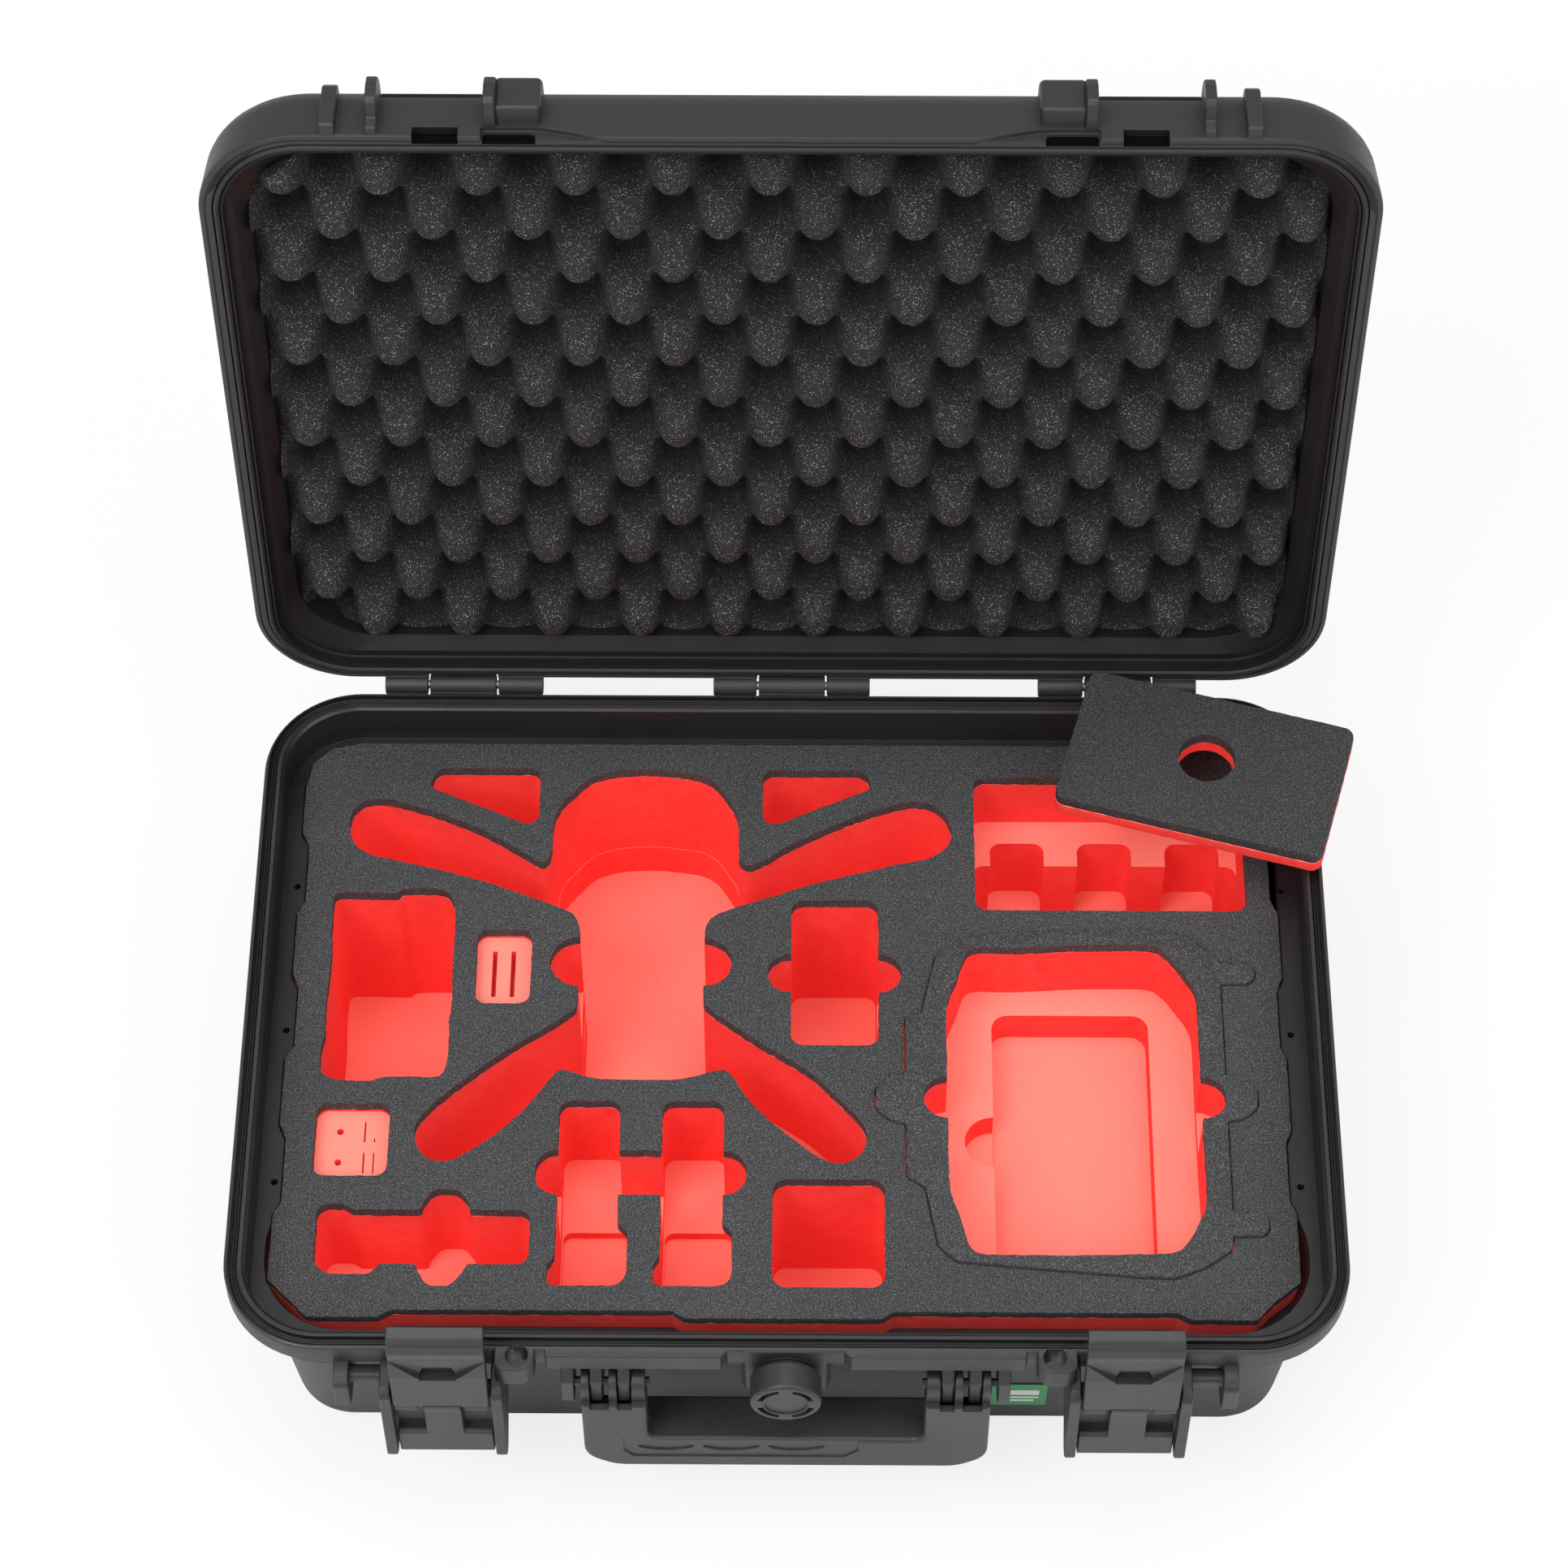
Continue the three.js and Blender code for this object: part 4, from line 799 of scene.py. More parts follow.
# ------------------------------------------------------------------ foam pieces
def make_foam_skin():
    bottom, over = FOAM_TOP - SKIN, FOAM_TOP + 3
    outline = ragged(FOAM_OUT, 0.10, 1.6)
    top = tapered(outline, FOAM_TOP)
    part = Moulding(
        loft(
            [
                (tapered(outline, bottom + 0.02), bottom + 0.02),
                (tapered(outline, FOAM_TOP - 0.7), FOAM_TOP - 0.7),
                (grown(top, -0.7 * 0.35), FOAM_TOP - 0.7 * 0.3),
                (grown(top, -0.7), FOAM_TOP),
            ]
        )
    )
    for pocket, _ in POCKETS:
        part.cut(prism(ragged(pocket), bottom - 2, over))
    part.cut(prism(ragged(INSERT_HOLE, 0.06, 1.4), bottom - 2, over))
    name = "foam_insert_black_skin"
    finish_foam(part, name, "case_base", TOP_FOAM, "foam_insert_black")


def make_foam_core():
    top, over = FOAM_TOP - SKIN, FOAM_TOP + 3
    part = Moulding(
        loft([(tapered(FOAM_OUT, FOAM_FLOOR), FOAM_FLOOR), (tapered(FOAM_OUT, top), top)])
    )
    for pocket, depth in POCKETS:
        part.cut(prism(pocket, FOAM_TOP - depth, over))
    part.cut(prism(DRONE_BODY, FOAM_TOP - 81.5, over))
    # battery well and three lobes behind it
    well = FOAM_TOP - 73.9
    part.cut(prism(round_rect(80.7, 198.3, 62.1, 108.1, 5.5), well, over))
    for x in (101, 139.8, 178.8):
        part.cut(prism(round_rect(x - 12, x + 12, 96, 120.1, 5), well, FOAM_TOP - 20))
    # deeper front ends of the twin slots
    for x0, x1 in ((-95.4, -66.6), (-52.1, -23.2)):
        toe = rounded([(x0, -70, 4), (x0, -121.6, 3), (x1, -121.6, 6), (x1, -70, 4)], 6)
        part.cut(prism(toe, FOAM_TOP - 55, FOAM_TOP))
    part.cut(prism(INSERT_HOLE, FOAM_TOP - 62.3, over))
    # two slits
    for x in (-127.8, -119.8):
        part.cut(box(x, x + 2, 20.9, 44, 88, 106))
    # two small holes, then fine slits, in the card shelf
    for centre in ((-188.4, -46), (-188.6, -60.8)):
        part.cut(rod("z", 88, 108, centre, 1.5))
    for x0, x1, y0, y1 in (
        (-178.3, -177.6, -51, -41),
        (-178.3, -177.6, -66, -56),
        (-174.1, -173.5, -51, -49),
        (-174.1, -173.5, -66, -56),
    ):
        part.cut(box(x0, x1, y0, y1, 98, 106))
    # curved step in the round lobe of the cross-shaped pocket
    part.cut(rod("y", -126, -108, (-143.5, FOAM_TOP - 50), 12.0, 40))
    part.cut(prism(disc(-147.5, -118, 9, 7, 30), FOAM_TOP - 58, FOAM_TOP - 30))
    finish_foam(part, "foam_insert_red_core", "case_base", RED, "foam_insert_red")


def make_controller_insert():
    """lift-out block that stands a little proud"""
    body = "controller_insert"
    top = FOAM_TOP + PROUD
    bottom = top - SKIN
    holes = [ragged(hole) for hole in (CONTROLLER, FINGER_LEFT, FINGER_RIGHT)]
    rim = ragged(INSERT, 0.08, 1.4)
    part = Moulding(
        loft(
            [
                (rim, bottom + 0.02),
                (rim, top - 0.7),
                (grown(rim, -0.25), top - 0.2),
                (grown(rim, -0.7), top),
            ]
        )
    )
    for hole in holes:
        part.cut(prism(hole, bottom - 2, top + 3))
    name = "controller_insert_skin"
    finish_foam(part, name, body, TOP_FOAM, "controller_insert_black")

    part = Moulding(prism(INSERT, FOAM_TOP - 62, bottom))
    for outline, depth in CONTROLLER_STEPS:
        part.cut(prism(outline, top - depth, top + 5))
    finish_foam(part, "controller_insert_core", body, RED, "controller_insert_red")


def make_cover_plate():
    """loose two-layer plate, drawn round its own centre and laid on the rim"""
    for name, low, high, mat, slot, node in (
        ("cover_plate_skin", 0.01, 6.0, PLATE_FOAM, "black_foam", "cover_plate_black"),
        ("cover_plate_core", -6.0, -0.01, RED, "red_foam", "cover_plate_red"),
    ):
        outline = ragged(centred(59, 34.75, 5, 10), 0.10, 1.3)
        hole = ragged(disc(0, 2.4, 12.3, steps=72), 0.10, 1.3)
        part = Moulding(pillow(outline, low, high, 0.5))
        part.cut(prism(hole, low - 2, high + 2))
        finish_foam(part, name, "cover_plate", mat, node, PLATE_PLACE)


def make_lid_foam():
    """convoluted sheet: height field with staggered peaks, closed behind by a flat back"""
    pitch_x, pitch_y = 38.5, 49.0
    half_x, half_y, radius = 214.2, 146.6, 30.0
    count_x, count_y = 300, 206
    valley_z, peak = 160.6, 25.8
    back_z = 166.2
    xs, ys = np.linspace(-half_x, half_x, count_x), np.linspace(-half_y, half_y, count_y)
    x, y = np.meshgrid(xs, ys)
    # square grid bent into a rounded rectangle near the corners
    over_x = np.maximum(np.abs(x) - (half_x - radius), 0)
    over_y = np.maximum(np.abs(y) - (half_y - radius), 0)
    reach = np.sqrt(over_x**2 + over_y**2)
    pull = np.where(reach > 1e-6, np.maximum(over_x, over_y) / np.maximum(reach, 1e-6), 1.0)
    corner = (over_x > 0) & (over_y > 0)
    x = np.where(corner, np.sign(x) * ((half_x - radius) + over_x * pull), x)
    y = np.where(corner, np.sign(y) * ((half_y - radius) + over_y * pull), y)
    wobble = 0.7 * np.sin(x / 47 + 1.3) + 0.7 * np.cos(y / 39 + 0.4)
    phase_x = 2 * math.pi * (x + 8.3 + 0.5 * wobble) / pitch_x
    phase_y = 2 * math.pi * (y + 136.0 + 0.4 * wobble) / pitch_y
    # broad round peaks and tighter valleys, as the sheet springs open after cutting
    wave = np.clip((0.5 + 0.5 * np.cos(phase_x) * np.cos(phase_y) - 0.10) / 0.84, 0, 1)
    height = (wave * wave * (3 - 2 * wave)) ** 0.85
    z = valley_z - peak * height
    # the sheet is a little too wide for the lid, so its edge rides up the wall
    margin = np.minimum(half_x - np.abs(x), half_y - np.abs(y))
    ride = np.clip(1 - margin / 15.0, 0, 1)
    ride = ride * ride * (3 - 2 * ride)
    z = z + (np.minimum(z, 147.5) - z) * ride
    z += rng.normal(0, 0.10, z.shape)
    verts = list(zip(x.ravel(), y.ravel(), z.ravel()))
    faces = []
    for j in range(count_y - 1):
        for i in range(count_x - 1):
            k = j * count_x + i
            faces.append((k, k + count_x, k + count_x + 1, k + 1))
    rim = list(range(count_x))
    rim += [j * count_x + count_x - 1 for j in range(1, count_y)]
    rim += [(count_y - 1) * count_x + i for i in range(count_x - 2, -1, -1)]
    rim += [j * count_x for j in range(count_y - 2, 0, -1)]
    base = len(verts)
    verts += [(verts[i][0] * 0.990, verts[i][1] * 0.988, back_z) for i in rim]
    for k in range(len(rim)):
        ahead = (k + 1) % len(rim)
        faces.append((rim[k], rim[ahead], base + ahead, base + k))
    faces.append(tuple(base + k for k in range(len(rim))))
    obj = mesh_object("lid_foam_convoluted", (verts, faces))
    # painted shade for the material, stored per vertex: full in the pits, none near the peaks
    painted_pit_shade = np.ones(len(verts))
    painted_pit_shade[:base] = np.clip(1 - height.ravel() * 1.25, 0, 1)
    attribute = obj.data.attributes.new("painted_pit_shade", "FLOAT", "POINT")
    attribute.data.foreach_set("value", painted_pit_shade.astype(np.float32))
    shade(obj, 60, weighted=False)
    finish(obj, "lid", [EGG], "lid_foam", LID_PLACE)


# ------------------------------------------------------------------ base shell
BASE_STEPS = 16  # segments in each plan corner
# profiles are (y, z) or (y, z, radius)
LATCH_EAR = rounded(
    [
        (-140, 120), (-140, 87), (-165, 66.5, 5), (-170, 63.2, 4), (-174.5, 63.2, 3),
        (-177, 66, 3), (-177, 116.5, 3.5), (-173.5, 119.2, 2), (-161, 120),
    ],
    5,
)
LATCH_LUG = rounded(
    [
        (-140, 118.9), (-140, 92), (-166, 96, 3), (-170.8, 98.2, 3), (-171.5, 116, 3),
        (-167, 119, 2), (-160, 119.8),
    ],
    5,
)
HANDLE_LUG = rounded(
    [
        (-139.5, 118.9), (-139.5, 90), (-163, 94, 3), (-167.6, 96.5, 3), (-168, 113.5, 3),
        (-164, 117.5, 3), (-160, 119.8),
    ],
    5,
)
LUG_BAR = rounded([(-166.5, 109, 2), (-160, 109, 2), (-160, 115.4, 2), (-166.5, 115.4, 2)], 4)
WALL_RIB = rounded([(-120, 104), (-120, 60), (-138.5, 60, 2), (-150, 104, 2)], 3)
HINGE_WEB = rounded(
    [
        (158, 119.6), (166.6, 125.4, 2), (HINGE_Y + 1, 126.4), (HINGE_Y + 1, HINGE_Z),
        (HINGE_Y - 2, HINGE_Z), (158, 130.4),
    ],
    3,
)
# plan outlines on the right side, (x, y) or (x, y, radius)
PADLOCK_TAB = [
    (117.4, -157), (117.4, -169.5, 3.5), (114, -171.2, 3), (105, -171.2, 4), (101.2, -167, 4),
    (101.2, -157),
]
RIM_RAIL = [(98.5, -156), (96.5, -164.9), (26.5, -164.9), (23.5, -162), (23.5, -156)]
RAIL_FOOT = [(96, -150), (95, -161.5), (24, -161.5), (22, -150)]
VALVE_BOSS = rounded(
    [
        (-18.3, -140), (-18.3, -158, 2), (-16.5, -162.4, 2), (16.5, -162.4, 2), (18.3, -158, 2),
        (18.3, -140),
    ],
    4,
)
# seal groove as (inset, z), with three fine ridges at its bottom
SEAL_GROOVE = [
    (0, 128), (0, 140), (4.0, 140), (4.0, 128), (3.4, 128), (3.1, 128.9), (2.8, 128), (2.3, 128),
    (2.0, 128.9), (1.7, 128), (1.2, 128), (0.9, 128.9), (0.6, 128),
]


def base_wall_rings():
    half_x, back_y, radius = 211, 146, 25
    rings = []
    for k in range(7):
        turn = math.pi / 2 * k / 6
        inset, z = FILLET * (1 - math.sin(turn)), FILLET * (1 - math.cos(turn))
        ring = round_rect(
            -half_x + inset, half_x - inset, FRONT_Y + inset, back_y - inset,
            radius - inset * 0.4, BASE_STEPS,
        )
        rings.append((ring, z))
    for z in (60, WALL_TOP):
        lean = (z - FILLET) / (WALL_TOP - FILLET)
        ring = round_rect(
            -half_x - 8 * lean, half_x + 8 * lean, FRONT_Y - FRONT_LEAN * lean,
            back_y + 6.5 * lean, radius + 11 * lean, BASE_STEPS,
        )
        rings.append((ring, z))
    return rings


def add_base_front(part, side):
    """everything that stands on the front wall on one side"""
    latch = side * LATCH_X
    for ear in (span(1, 20.2, 24.8), span(-1, 20.2, 24.8)):
        part.add(pillow_x(LATCH_EAR, latch + ear[0], latch + ear[1], 0.8))
    part.add(
        pillow_x(LATCH_LUG, *span(side, 176.8, 183.3), 0.8),
        # bar between lug and ear, round and slim
        pillow_x(LUG_BAR, *span(side, 161.5, 178), 0.3, 2),
    )
    for low, high in ((86, 91.2), (74.4, 79.4), (63.2, 68.2)):
        part.add(pillow_x(HANDLE_LUG, *span(side, low, high), 0.8))
    part.add(
        pillow(rounded(mirrored(PADLOCK_TAB, side), 6), 118.2, 130.9, 0.9),
        # rim rail with a sloped end by the valve
        pillow(mirrored(RIM_RAIL, side), 119.6, 130.7, 0.8),
        pillow(mirrored(RAIL_FOOT, side), 115.5, 121, 0.8, 2),
    )
    # upright stiffening ribs beside the ears
    for x in (152.0, 129.0):
        part.add(pillow_x(WALL_RIB, *span(side, x - 1.2, x + 1.2), 0.4, 2))


def cut_base_cavities(part):
    opening = [(220.5, 153, 32, 109), (220.9, 153.4, 32.4, 129.6), (221.6, 154.1, 33, 140)]
    part.cut(
        loft(centred_rings(opening, BASE_STEPS)),
        # clear strip in front of the foam
        loft(
            [
                (round_rect(-212.5, 212.5, -139, -70, 33, 10), 94),
                (round_rect(-216, 216, -142.2, -70, 34, 10), 110),
            ]
        ),
        # foam well
        loft([(grown(tapered(FOAM_OUT, z), 0.7), z) for z in (9, 110)]),
        ring_sweep(227.8, 160.4, 38.2, SEAL_GROOVE, BASE_STEPS),
    )
    # shallow step just inside the groove
    step = [(-0.6, 132), (-0.6, 130.3), (0.6, 129.4), (3, 129.4), (3, 132)]
    part.cut(ring_sweep(221.6, 154.1, 33.0, step, BASE_STEPS))


def cut_base_holes(part):
    part.cut(rod("y", -172, -151, (0, VALVE_Z), 8.3, 32))
    for side in (1, -1):
        latch = side * LATCH_X
        part.cut(
            rod("x", latch - 27, latch + 27, LEVER_PIN, PIN_HOLE),
            rod("x", *span(side, 56, 93), HANDLE_PIN, PIN_HOLE),
            # padlock hole
            rod("z", 108, 140, (side * 108.3, -164.2), 4.65, 32),
            # notch under the flange beside the latch
            box(*span(side, 167, 175.6), -160.6, -159.0, 116.5, 118.6),
        )
        # screw holes on the ledge
        for y in (74, 1, -73):
            part.cut(rod("z", 104, 112, (side * 214.0, y), 1.5))
    for x in BASE_KNUCKLES:
        part.cut(rod("x", x - 20, x + 20, HINGE_PIN, PIN_HOLE))


def is_base_inner(face):
    """faces that get the smoother finish: the inside walls and the seal groove"""
    centre, normal = face.center / MM, face.normal
    x, y, z = abs(centre.x), abs(centre.y), centre.z
    outward = normal.x * centre.x + normal.y * centre.y
    if x < 222.3 and y < 154.8 and z > 8.9 and outward < 20 and not (centre.y < -141 and x > 212):
        well = x < 216 and -133 < centre.y < 145
        inward = normal.y > 0.3 or normal.x * centre.x < -0.3 * x
        if z > 108.5 or well or (z > 93.5 and inward):
            return True
    return 127.5 < z < 130.9 and x < 227.9 and y < 160.5 and (x > 221.5 or y > 154)


def make_base():
    collar = [(222.6, 155.0, 36, 106.4), (224, 156.5, 36, 108), (224, 156.5, 36, 121)]
    flange = [
        (227.6, 160.1, 40, 118.6), (228.9, 161.4, 41, 119.2), (229.5, 162, 41, 120.6),
        (229.5, 162, 41, 129.5), (229.1, 161.6, 40.6, 130.5), (228.1, 160.6, 39.6, 131),
    ]
    part = Moulding(loft(base_wall_rings() + centred_rings(collar, BASE_STEPS)))
    part.add(loft(centred_rings(flange, BASE_STEPS)))
    for side in (1, -1):
        add_base_front(part, side)
    part.add(pillow(VALVE_BOSS, 97, 130.4, 0.9))
    for x in BASE_KNUCKLES:
        low, high = x - KNUCKLE_HALF, x + KNUCKLE_HALF
        part.add(rod("x", low, high, HINGE_PIN, 4.6, 32, 0.5))
        part.add(pillow_x(HINGE_WEB, low, high, 0.5, 2))
    cut_base_cavities(part)
    cut_base_holes(part)
    obj = part.build("base_shell_moulding")
    for face in obj.data.polygons:
        if is_base_inner(face):
            face.material_index = 1
    shade(obj, 30)
    finish(obj, "case_base", [SHELL, GLOSS], "base_shell")


# ------------------------------------------------------------------ lid shell
LID_STEPS = 18
# profiles are (y, z) or (y, z, radius)
TALL_RIB = rounded(
    [
        (-160, 132.5), (-153, 160.8), (-166, 160, 4), (-171.5, 157.5, 4), (-175.6, 153.6, 3),
        (-177, 149, 3), (-177, 140.8, 2), (-175, 139, 2), (-169, 137.6, 1), (-168.2, 132.5, 1),
    ],
    5,
)
LOW_RIB = rounded(
    [(-160, 132.3), (-153, 161), (-166.5, 158.6, 3), (-169.6, 154.4, 3), (-170, 132.3, 1.5)], 5
)
PADLOCK_BLOCK = rounded(
    [
        (-158, 139.2), (-150, 164), (-160, 164, 5), (-167, 161.6, 5), (-172, 157, 5),
        (-173, 149, 5), (-173, 139.2, 1.5),
    ],
    6,
)
HINGE_ARM = rounded(
    [
        (159, 146), (159, 131.6), (HINGE_Y - 1, HINGE_Z), (HINGE_Y + 1, HINGE_Z + 1),
        (HINGE_Y + 2.4, HINGE_Z + 4.4, 1.5), (164.6, 141.5, 2),
    ],
    3,
)
RIB_TRIM = [(-175, 156.2), (-159.6, 156.2), (-157.2, 157.5), (-157.2, 190), (-175, 190)]
# front elevations on the right side, (x, z) or (x, z, radius)
EDGE_SLOPE = [(120, 129), (120, 137.6), (99.0, 137.6), (93, 136.6), (70, 131.2), (70, 129)]
PADLOCK_RECESS = [(119.4, 128), (119.4, 136.8, 1.5), (98.8, 136.8, 3), (98.8, 128)]
# stepped inner edge of the rim, then the interior: (half x, half y, corner radius, z)
LID_INTERIOR = [
    (223.4, 156, 33.6, 129), (223.4, 156, 33.6, 136.2), (222.8, 155.4, 33.5, 136.8),
    (220, 152.6, 33.2, 137.2), (214.7, 147.3, 33, 142), (212.2, 144.8, 33, 166.4),
]


def lid_outer_rings():
    half_x, half_y, radius = 233.0, 164.6, 42.0
    levels = [(1.2, 1.2, 131.4), (0.3, 0.3, 131.9), (0, 0, 133.0)]  # inset, corner inset, z
    for k in range(11):
        turn = math.pi / 2 * k / 10
        inset = 1.2 + 22 * (1 - math.cos(turn))
        levels.append((inset, inset * 0.6, 148 + 22 * math.sin(turn)))
    stations = [
        (half_x - inset, half_y - inset, radius - corner, z) for inset, corner, z in levels
    ]
    return centred_rings(stations, LID_STEPS)


def lid_face_index(face):
    """0 outer shell, 1 inner finish, 2 painted shade on the back of the latch and padlock recesses"""
    centre = face.center / MM
    x, z = abs(centre.x), centre.z
    latch = 128.6 < x < 146.8
    if -161.3 < centre.y < -160.6 and z < 137.6 and (latch or 98.6 < x < 119.6):
        return 2
    corner = math.hypot(max(x - 189.9, 0), max(abs(centre.y) - 122.5, 0))
    return int((corner < 37.95 and z < 167) or (centre.y < -160 and latch and z < 137.6))


def make_lid():
    part = Moulding(loft(lid_outer_rings()))
    for side in (1, -1):
        part.add(
            pillow_x(TALL_RIB, *span(side, 160.2, 164.6), 0.7),
            pillow_x(TALL_RIB, *span(side, 114.4, 119), 0.7),
            pillow_x(LOW_RIB, *span(side, 176.4, 182.4), 0.7),
            pillow_x(PADLOCK_BLOCK, *span(side, 96.6, 115.2), 2.2, 5),
        )
    for low, high in LID_KNUCKLES:
        part.add(rod("x", low, high, HINGE_PIN, 4.5, 32, 0.5))
        part.add(pillow_x(HINGE_ARM, low, high, 0.5, 2))
    seal_channel = [(0, 129), (0, 134.4), (3.4, 134.4), (3.4, 129)]
    parting_step = [(0, 129), (0, 131.9), (0.8, 131.9), (0.8, 129)]
    part.cut(
        loft(centred_rings(LID_INTERIOR, LID_STEPS)),
        ring_sweep(227.7, 160.3, 37.9, seal_channel, LID_STEPS),
        ring_sweep(230.7, 162.5, 40, parting_step, LID_STEPS),
    )
    for x in BASE_KNUCKLES:
        part.cut(rod("x", x - KNUCKLE_GAP, x + KNUCKLE_GAP, HINGE_PIN, 5.5, 32, 0.1))
    for low, high in LID_KNUCKLES:
        part.cut(rod("x", low - 0.5, high + 0.5, HINGE_PIN, PIN_HOLE))
    for side in (1, -1):
        part.cut(
            box(*span(side, 128.8, 146.6), -172, -160.9, 129, 137.4),
            pillow_x(RIB_TRIM, *span(side, 119.0, 160.2), 0.1, 1),
            # raised lower edge beside the padlock block, sloping back to the rim
            prism(mirrored(EDGE_SLOPE, side), -180, -162.2, "y"),
            prism(rounded(mirrored(PADLOCK_RECESS, side), 5), -180, -160.9, "y"),
        )
    obj = part.build("lid_shell_moulding")
    for face in obj.data.polygons:
        face.material_index = lid_face_index(face)
    shade(obj, 30)
    finish(obj, "lid", [SHELL, LID_INNER, PAINTED_SHADE], "lid_shell", LID_PLACE)


def make_seal_cord():
    turns = [2 * math.pi * k / 12 for k in range(12)]
    section = [(1.3 + 1.3 * math.cos(t), 132.05 + 1.95 * math.sin(t)) for t in turns]
    obj = mesh_object("lid_seal_cord", ring_sweep(227.3, 159.9, 37.5, section, 20))
    shade(obj, 60, weighted=False)
    finish(obj, "lid", [RUBBER], "lid_seal", LID_PLACE)


# ------------------------------------------------------------------ latches
LEVER_HALF = 19.5
STEM_HALF = 7.6


def make_lever(name, x):
    """T-shaped lever: a wide foot and a narrow stem up to the link pin"""
    y, z = LEVER_PIN
    link_y, link_z = LINK_PIN
    arm = rounded(
        [
            (y - 0.5, z - 4), (y + 2.4, z - 3, 2), (-167.5, 90, 1), (-167.5, 64.8, 1),
            (-169.4, 63.3, 1.2), (-171.4, 63.3, 1.2), (-174.0, 64.2, 1.2), (-174.0, 79.6, 0.8),
            (-172.6, 80.6, 0.5), (-172.4, 96, 1), (y - 4, z),
        ],
        4,
    )
    stem = rounded(
        [
            (-169.6, 79), (-174.2, 79, 0.6), (-174.4, 100, 1), (link_y - 2.2, link_z - 2.6),
            (link_y + 3, link_z - 2), (y, z),
        ],
        4,
    )
    part = Moulding(pillow_x(arm, x - LEVER_HALF, x + LEVER_HALF, 0.6))
    part.add(rod("x", x - LEVER_HALF, x + LEVER_HALF, LEVER_PIN, 4.2, 28, 0.5))
    # hollows left and right of the stem
    for hollow in (
        [(x - 30, 81.2), (x - 7.7, 81.2, 1.2), (x - 7.7, 99, 1.2), (x - 30, 99)],
        [(x + 7.7, 81.2, 1.2), (x + 30, 81.2), (x + 30, 99), (x + 7.7, 99, 1.2)],
    ):
        part.cut(pillow(rounded(hollow, 4), -182, -169.4, 0.01, 1, "y"))
    part.add(
        pillow_x(stem, x - STEM_HALF, x + STEM_HALF, 0.6),
        rod("x", x - STEM_HALF, x + STEM_HALF, LINK_PIN, 3.1, 24, 0.4),
    )
    part.cut(
        rod("x", x - 21, x + 21, LEVER_PIN, PIN_HOLE),
        rod("x", x - 9, x + 9, LINK_PIN, LINK_HOLE),
    )
    body = "lever_" + name
    finish_hardware(part, "latch_lever_tee_" + name, body, "latch_lever_" + name)


def facet(x, top, foot):
    """block in front of a sloping face; top and foot edges are (half width, z, y)"""
    corners = [(-top[0], *top[1:]), top, foot, (-foot[0], *foot[1:])]
    verts = [(x + offset, -181, z) for offset, z, y in corners]
    verts += [(x + offset, y, z) for offset, z, y in corners]
    sides = [(1, 5, 4, 0), (2, 6, 5, 1), (3, 7, 6, 2), (0, 4, 7, 3)]
    return verts, [(3, 2, 1, 0), (4, 5, 6, 7), *sides]


def make_hook(name, x):
    """hook plate: lip, bevelled shoulders, scooped window and lower panel"""
    plate = rounded(
        [
            (-176.9, 110.3, 0.5), (-174.4, 110.1, 0.6), (-171.6, 112.4, 1.5), (-170.4, 120, 4),
            (-170.2, 150, 6), (-166.0, 156.9, 0.5), (-166, 159.3, 1.0), (-170.8, 158.1, 3),
            (-173.8, 155.6, 3), (-175.2, 151.2, 3), (-174.8, 146.2, 6), (-176.4, 134, 6),
        ],
        5,
    )
    part = Moulding(pillow_x(plate, x - 19.4, x + 19.4, 0.7))
    knuckles = ((x - 18.8, x - 9.6), (x + 9.6, x + 18.8))
    for low, high in knuckles:
        part.add(rod("x", low, high, LINK_PIN, 3.1, 24, 0.4))
    for low, high in knuckles:
        part.add(box(low, high, -176.4, LINK_PIN[0], LINK_PIN[1], 113, 0.3))
    part.cut(
        rod("x", x - 20, x + 20, LINK_PIN, LINK_HOLE),
        box(x - 9.6, x + 9.6, -175.6, -168, 105, 112.2),
        rod("x", x - 9.6, x + 9.6, LINK_PIN, 3.7, 28),
        # facets falling to the slot, then a deeper scoop in their middle
        facet(x, top=(19.9, 145.2, -174.7), foot=(8.0, 133.2, -174.5)),
        facet(x, top=(5.4, 141.2, -175.2), foot=(7.6, 133.0, -171.9)),
        box(x - 7.4, x + 7.4, -181, -168, 131.6, 133.4),
    )
    body = "hook_" + name
    finish_hardware(part, "latch_hook_plate_" + name, body, "latch_hook_" + name, angle=28)


# ------------------------------------------------------------------ handle
def grip_recess(x):
    """lens shape, nearly flat above and deep below"""
    half, z = 11.8, 64.6
    turns = [math.pi * k / 12 for k in range(13)]
    pts = [(x - half * math.cos(t), z + 1.0 * math.sin(t)) for t in turns]
    return pts + [(x + half * math.cos(t), z - 4.4 * math.sin(t)) for t in turns[1:-1]]


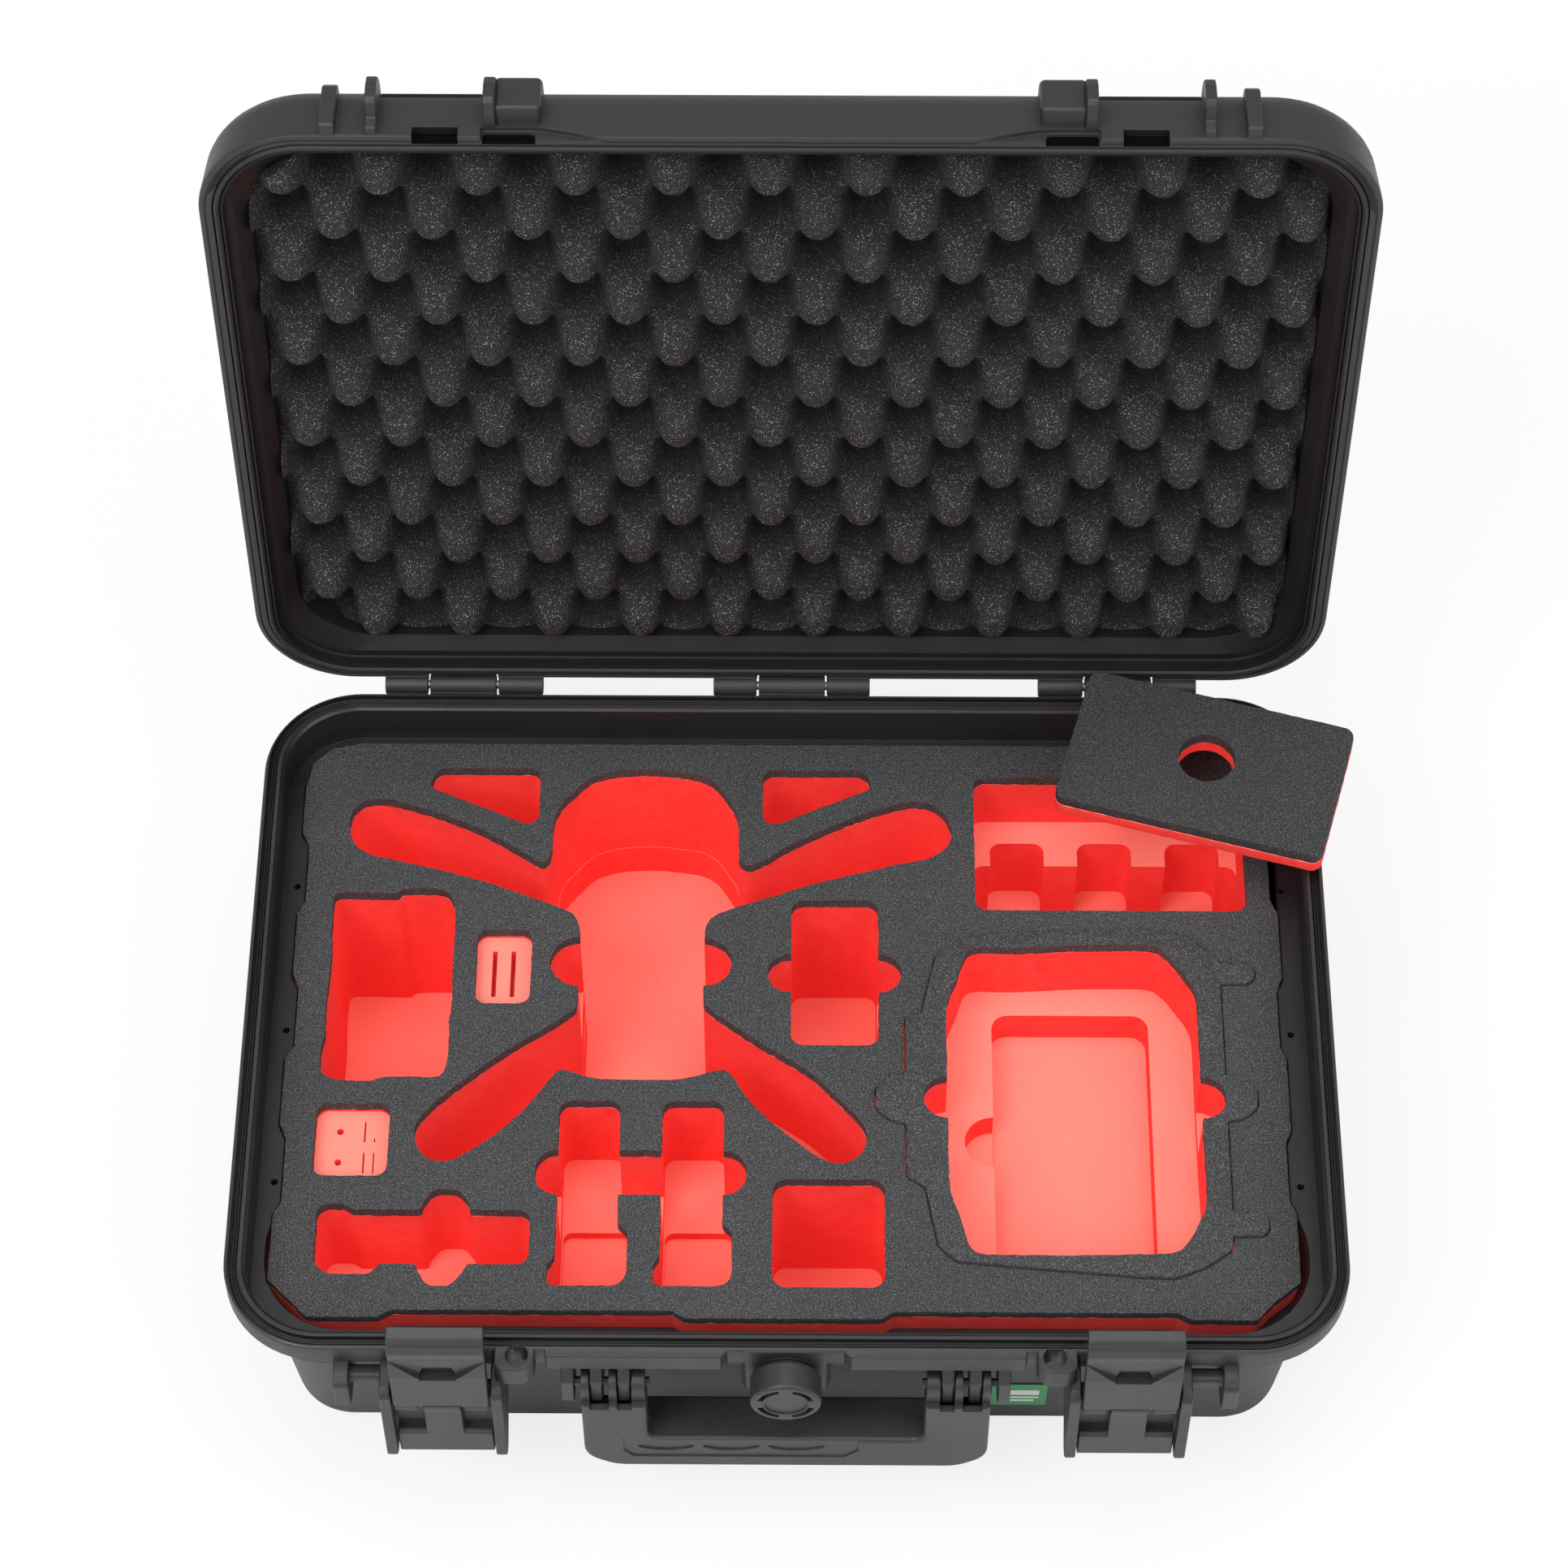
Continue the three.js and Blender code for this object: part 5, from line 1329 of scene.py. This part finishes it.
def make_handle():
    # outlines are (x, z) or (x, z, radius)
    grip = [(-HANDLE_X, 55, 12), (-71, 46.4, 16), (71, 46.4, 16), (HANDLE_X, 55, 12)]
    outline = [
        (-HANDLE_X, 112), *grip, (HANDLE_X, 112), (56.6, 112), (56.6, 70.5, 5), (-56.6, 70.5, 5),
        (-56.6, 112),
    ]
    part = Moulding(pillow(rounded(outline), -172, -160.5, 2.2, 4, "y"))
    # the grip bar is deeper than the arms
    bar = rounded([(-HANDLE_X, 70.5, 3), *grip, (HANDLE_X, 70.5, 3)])
    part.add(pillow(bar, -166, -151.2, 1.6, 4, "y"))
    part.cut(box(-90, 90, -182, -150, 100, 118))
    for side in (1, -1):
        for low, high in ((79.9, HANDLE_X), (68.7, 72), (57.2, 62.7)):
            ends = span(side, low, high)
            part.add(
                rod("x", *ends, HANDLE_PIN, 5.4, 28, 0.5),
                box(*ends, -169.4, -160.5, 98, HANDLE_PIN[1], 0.3),
            )
        for low, high in ((72, 79.9), (62.7, 68.7)):
            ends = span(side, low, high)
            part.cut(box(*ends, -169, -150, 88.6, 122), box(*ends, -182, -150, 97.5, 122))
    # shallow recess that holds the finger patches, with sloped ends
    recess = [(-67, 73), (-67, 61), (-63, 55.5), (24, 55.5), (30, 61.5), (30, 73)]
    part.cut(prism(recess, -175, -171.4, "y"))
    for x in (-49.5, -22.6, 4.3):
        part.cut(prism(grip_recess(x), -175, -170.7, "y"))
    for low, high in ((-84, -56), (56, 84)):
        part.cut(rod("x", low, high, HANDLE_PIN, PIN_HOLE))
    finish_hardware(part, "handle_grip", "carry_handle", "handle")


# ------------------------------------------------------------------ valve
def make_valve():
    """round cap with a dished face and four arc slots"""
    part = Moulding(pillow(disc(0, VALVE_Z, 14.5, steps=72), -177.4, -164.6, 1.6, 4, "y"))
    part.cut(rod("y", -173.8, -160, (0, VALVE_Z), 12, 48, 0.01))
    for middle in (45, 135, 225, 315):
        turns = [math.radians(middle - 30 + 60 * k / 12) for k in range(13)]
        slot = [
            (radius * math.cos(t), VALVE_Z + radius * math.sin(t))
            for radius, arc in ((11.9, turns), (9.6, turns[::-1]))
            for t in arc
        ]
        part.cut(prism(slot, -180, -172, "y"))
    # plain concentric step inside the slots
    part.cut(prism(disc(0, VALVE_Z, 8.8, steps=48), -178.5, -176.7, "y"))
    finish_hardware(part, "valve_cap_disc", "case_base", "valve_cap")


# ------------------------------------------------------------------ label
def front_wall_y(z):
    return FRONT_Y - FRONT_LEAN * (z - FILLET) / (WALL_TOP - FILLET)


def make_label_bars():
    """plain white bars on the green film, in place of print"""
    bars = ((92.5, 106.5, 37.5, 43.5), (92.5, 106.5, 33.2, 35.4), (94.5, 104.5, 29.2, 31.4))
    for i, (x0, x1, z0, z1) in enumerate(bars):
        foot, head = front_wall_y(z0), front_wall_y(z1)
        section = [(foot - 0.45, z0), (foot - 0.56, z0), (head - 0.56, z1), (head - 0.45, z1)]
        obj = mesh_object("label_bar_%d" % i, prism(section, x0, x1, "x"))
        finish(obj, "case_base", [WHITE_BAR])


make_label_bars()
make_foam_skin()
make_foam_core()
make_controller_insert()
make_cover_plate()
make_lid_foam()
make_base()
make_lid()
make_seal_cord()
for side_name, side_sign in (("left", -1), ("right", 1)):
    make_lever(side_name, side_sign * LATCH_X)
    make_hook(side_name, side_sign * LATCH_X)
make_handle()
make_valve()

# CAD pieces kept as they are, with a material
for material, names in (
    (STEEL, ("hinge_pin_left", "hinge_pin_middle", "hinge_pin_right")),
    (STEEL, ("latch_pivot_pin_left", "latch_pivot_pin_right")),
    (STEEL, ("latch_link_pin_left", "latch_link_pin_right")),
    (DARK_PIN, ("handle_pin_left", "handle_pin_right")),
    (HARD, ("valve_body",)),
    (RUBBER, ("valve_gasket",)),
    (LABEL, ("front_label",)),
):
    for name in names:
        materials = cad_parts[name].data.materials
        materials.clear()
        materials.append(material)


# ------------------------------------------------------------------ stage, in metres
def floor_material():
    mat = Mat("floor_pale")
    cloud = mat.remap(mat.noise(scale=3, detail=2, rough=0.5), (0.3, 0.7))
    tone = mat.mix(cloud, (0.86, 0.86, 0.86), (0.88, 0.88, 0.88))
    mat.set(Base_Color=tone, Roughness=0.85, Specular_IOR_Level=0.1)
    # seen directly the floor is near white with a faint shadow;
    # it still lights the case like a plain pale floor
    direct_glow = 0.78
    glow = mat.node("Emission").outputs[0]
    seen = mat.node("LightPath").outputs["Is Camera Ray"]
    share = mat.math("MULTIPLY", seen, direct_glow)
    both = mat.node("MixShader", {0: share, 1: mat.shader.outputs[0], 2: glow})
    mat.feed(mat.output, both.outputs[0])
    return mat.material


def make_floor():
    half, z = 6.0, -0.0002
    mesh = bpy.data.meshes.new("floor")
    corners = [(-half, -half, z), (half, -half, z), (half, half, z), (-half, half, z)]
    mesh.from_pydata(corners, [], [(0, 1, 2, 3)])
    obj = bpy.data.objects.new("floor", mesh)
    bpy.context.collection.objects.link(obj)
    mesh.materials.append(floor_material())


def area_light(name, place, aim, size, watts):
    light = bpy.data.lights.new(name, "AREA")
    light.energy = watts
    light.shape = "RECTANGLE"
    light.size, light.size_y = size
    obj = bpy.data.objects.new(name, light)
    obj.location = place
    obj.rotation_euler = (Vector(aim) - Vector(place)).to_track_quat("-Z", "Y").to_euler()
    bpy.context.collection.objects.link(obj)


def make_world():
    world = bpy.data.worlds.new("studio")
    world.use_nodes = True
    background = world.node_tree.nodes["Background"]
    background.inputs["Color"].default_value = (1, 1, 1, 1)
    background.inputs["Strength"].default_value = 0.55
    bpy.context.scene.world = world


def z_turn(angle):
    return np.array(
        [
            [math.cos(angle), -math.sin(angle), 0],
            [math.sin(angle), math.cos(angle), 0],
            [0, 0, 1],
        ]
    )


def make_camera():
    position = (0.0076, -1.0245, 1.7989)
    pitch, yaw, roll = math.radians(55.65), math.radians(0.48), math.radians(-0.14)
    down, level = math.sin(pitch), math.cos(pitch)
    tilt = np.array([[1, 0, 0], [0, -down, -level], [0, level, -down]])
    # rows of the view are right, down and forward; a camera's axes are right, up and back
    view = z_turn(roll) @ tilt @ z_turn(yaw).T
    axes = view.T * (1, -1, -1)
    camera = bpy.data.cameras.new("camera")
    obj = bpy.data.objects.new("camera", camera)
    bpy.context.collection.objects.link(obj)
    obj.matrix_world = Matrix(np.c_[axes, position].tolist() + [[0, 0, 0, 1]])
    camera.sensor_width = 36.0
    camera.lens = 106.39751553
    camera.shift_x = -0.000879917184
    camera.shift_y = -0.001501035197
    camera.clip_start = 0.05
    camera.clip_end = 30
    scene = bpy.context.scene
    scene.camera = obj
    scene.view_settings.view_transform = "Standard"
    scene.view_settings.look = "None"
    scene.view_settings.exposure = 0.0
    scene.view_settings.gamma = 1.0


make_floor()
area_light("key", place=(-1.3, -1.5, 2.6), aim=(0, 0, 0.12), size=(1.5, 1.5), watts=50)
area_light("fill", place=(1.7, -1.2, 2.2), aim=(0, 0, 0.12), size=(1.8, 1.8), watts=24)
area_light("top", place=(0.0, 0.15, 2.9), aim=(0, 0.05, 0.1), size=(1.8, 1.4), watts=26)
make_world()
make_camera()
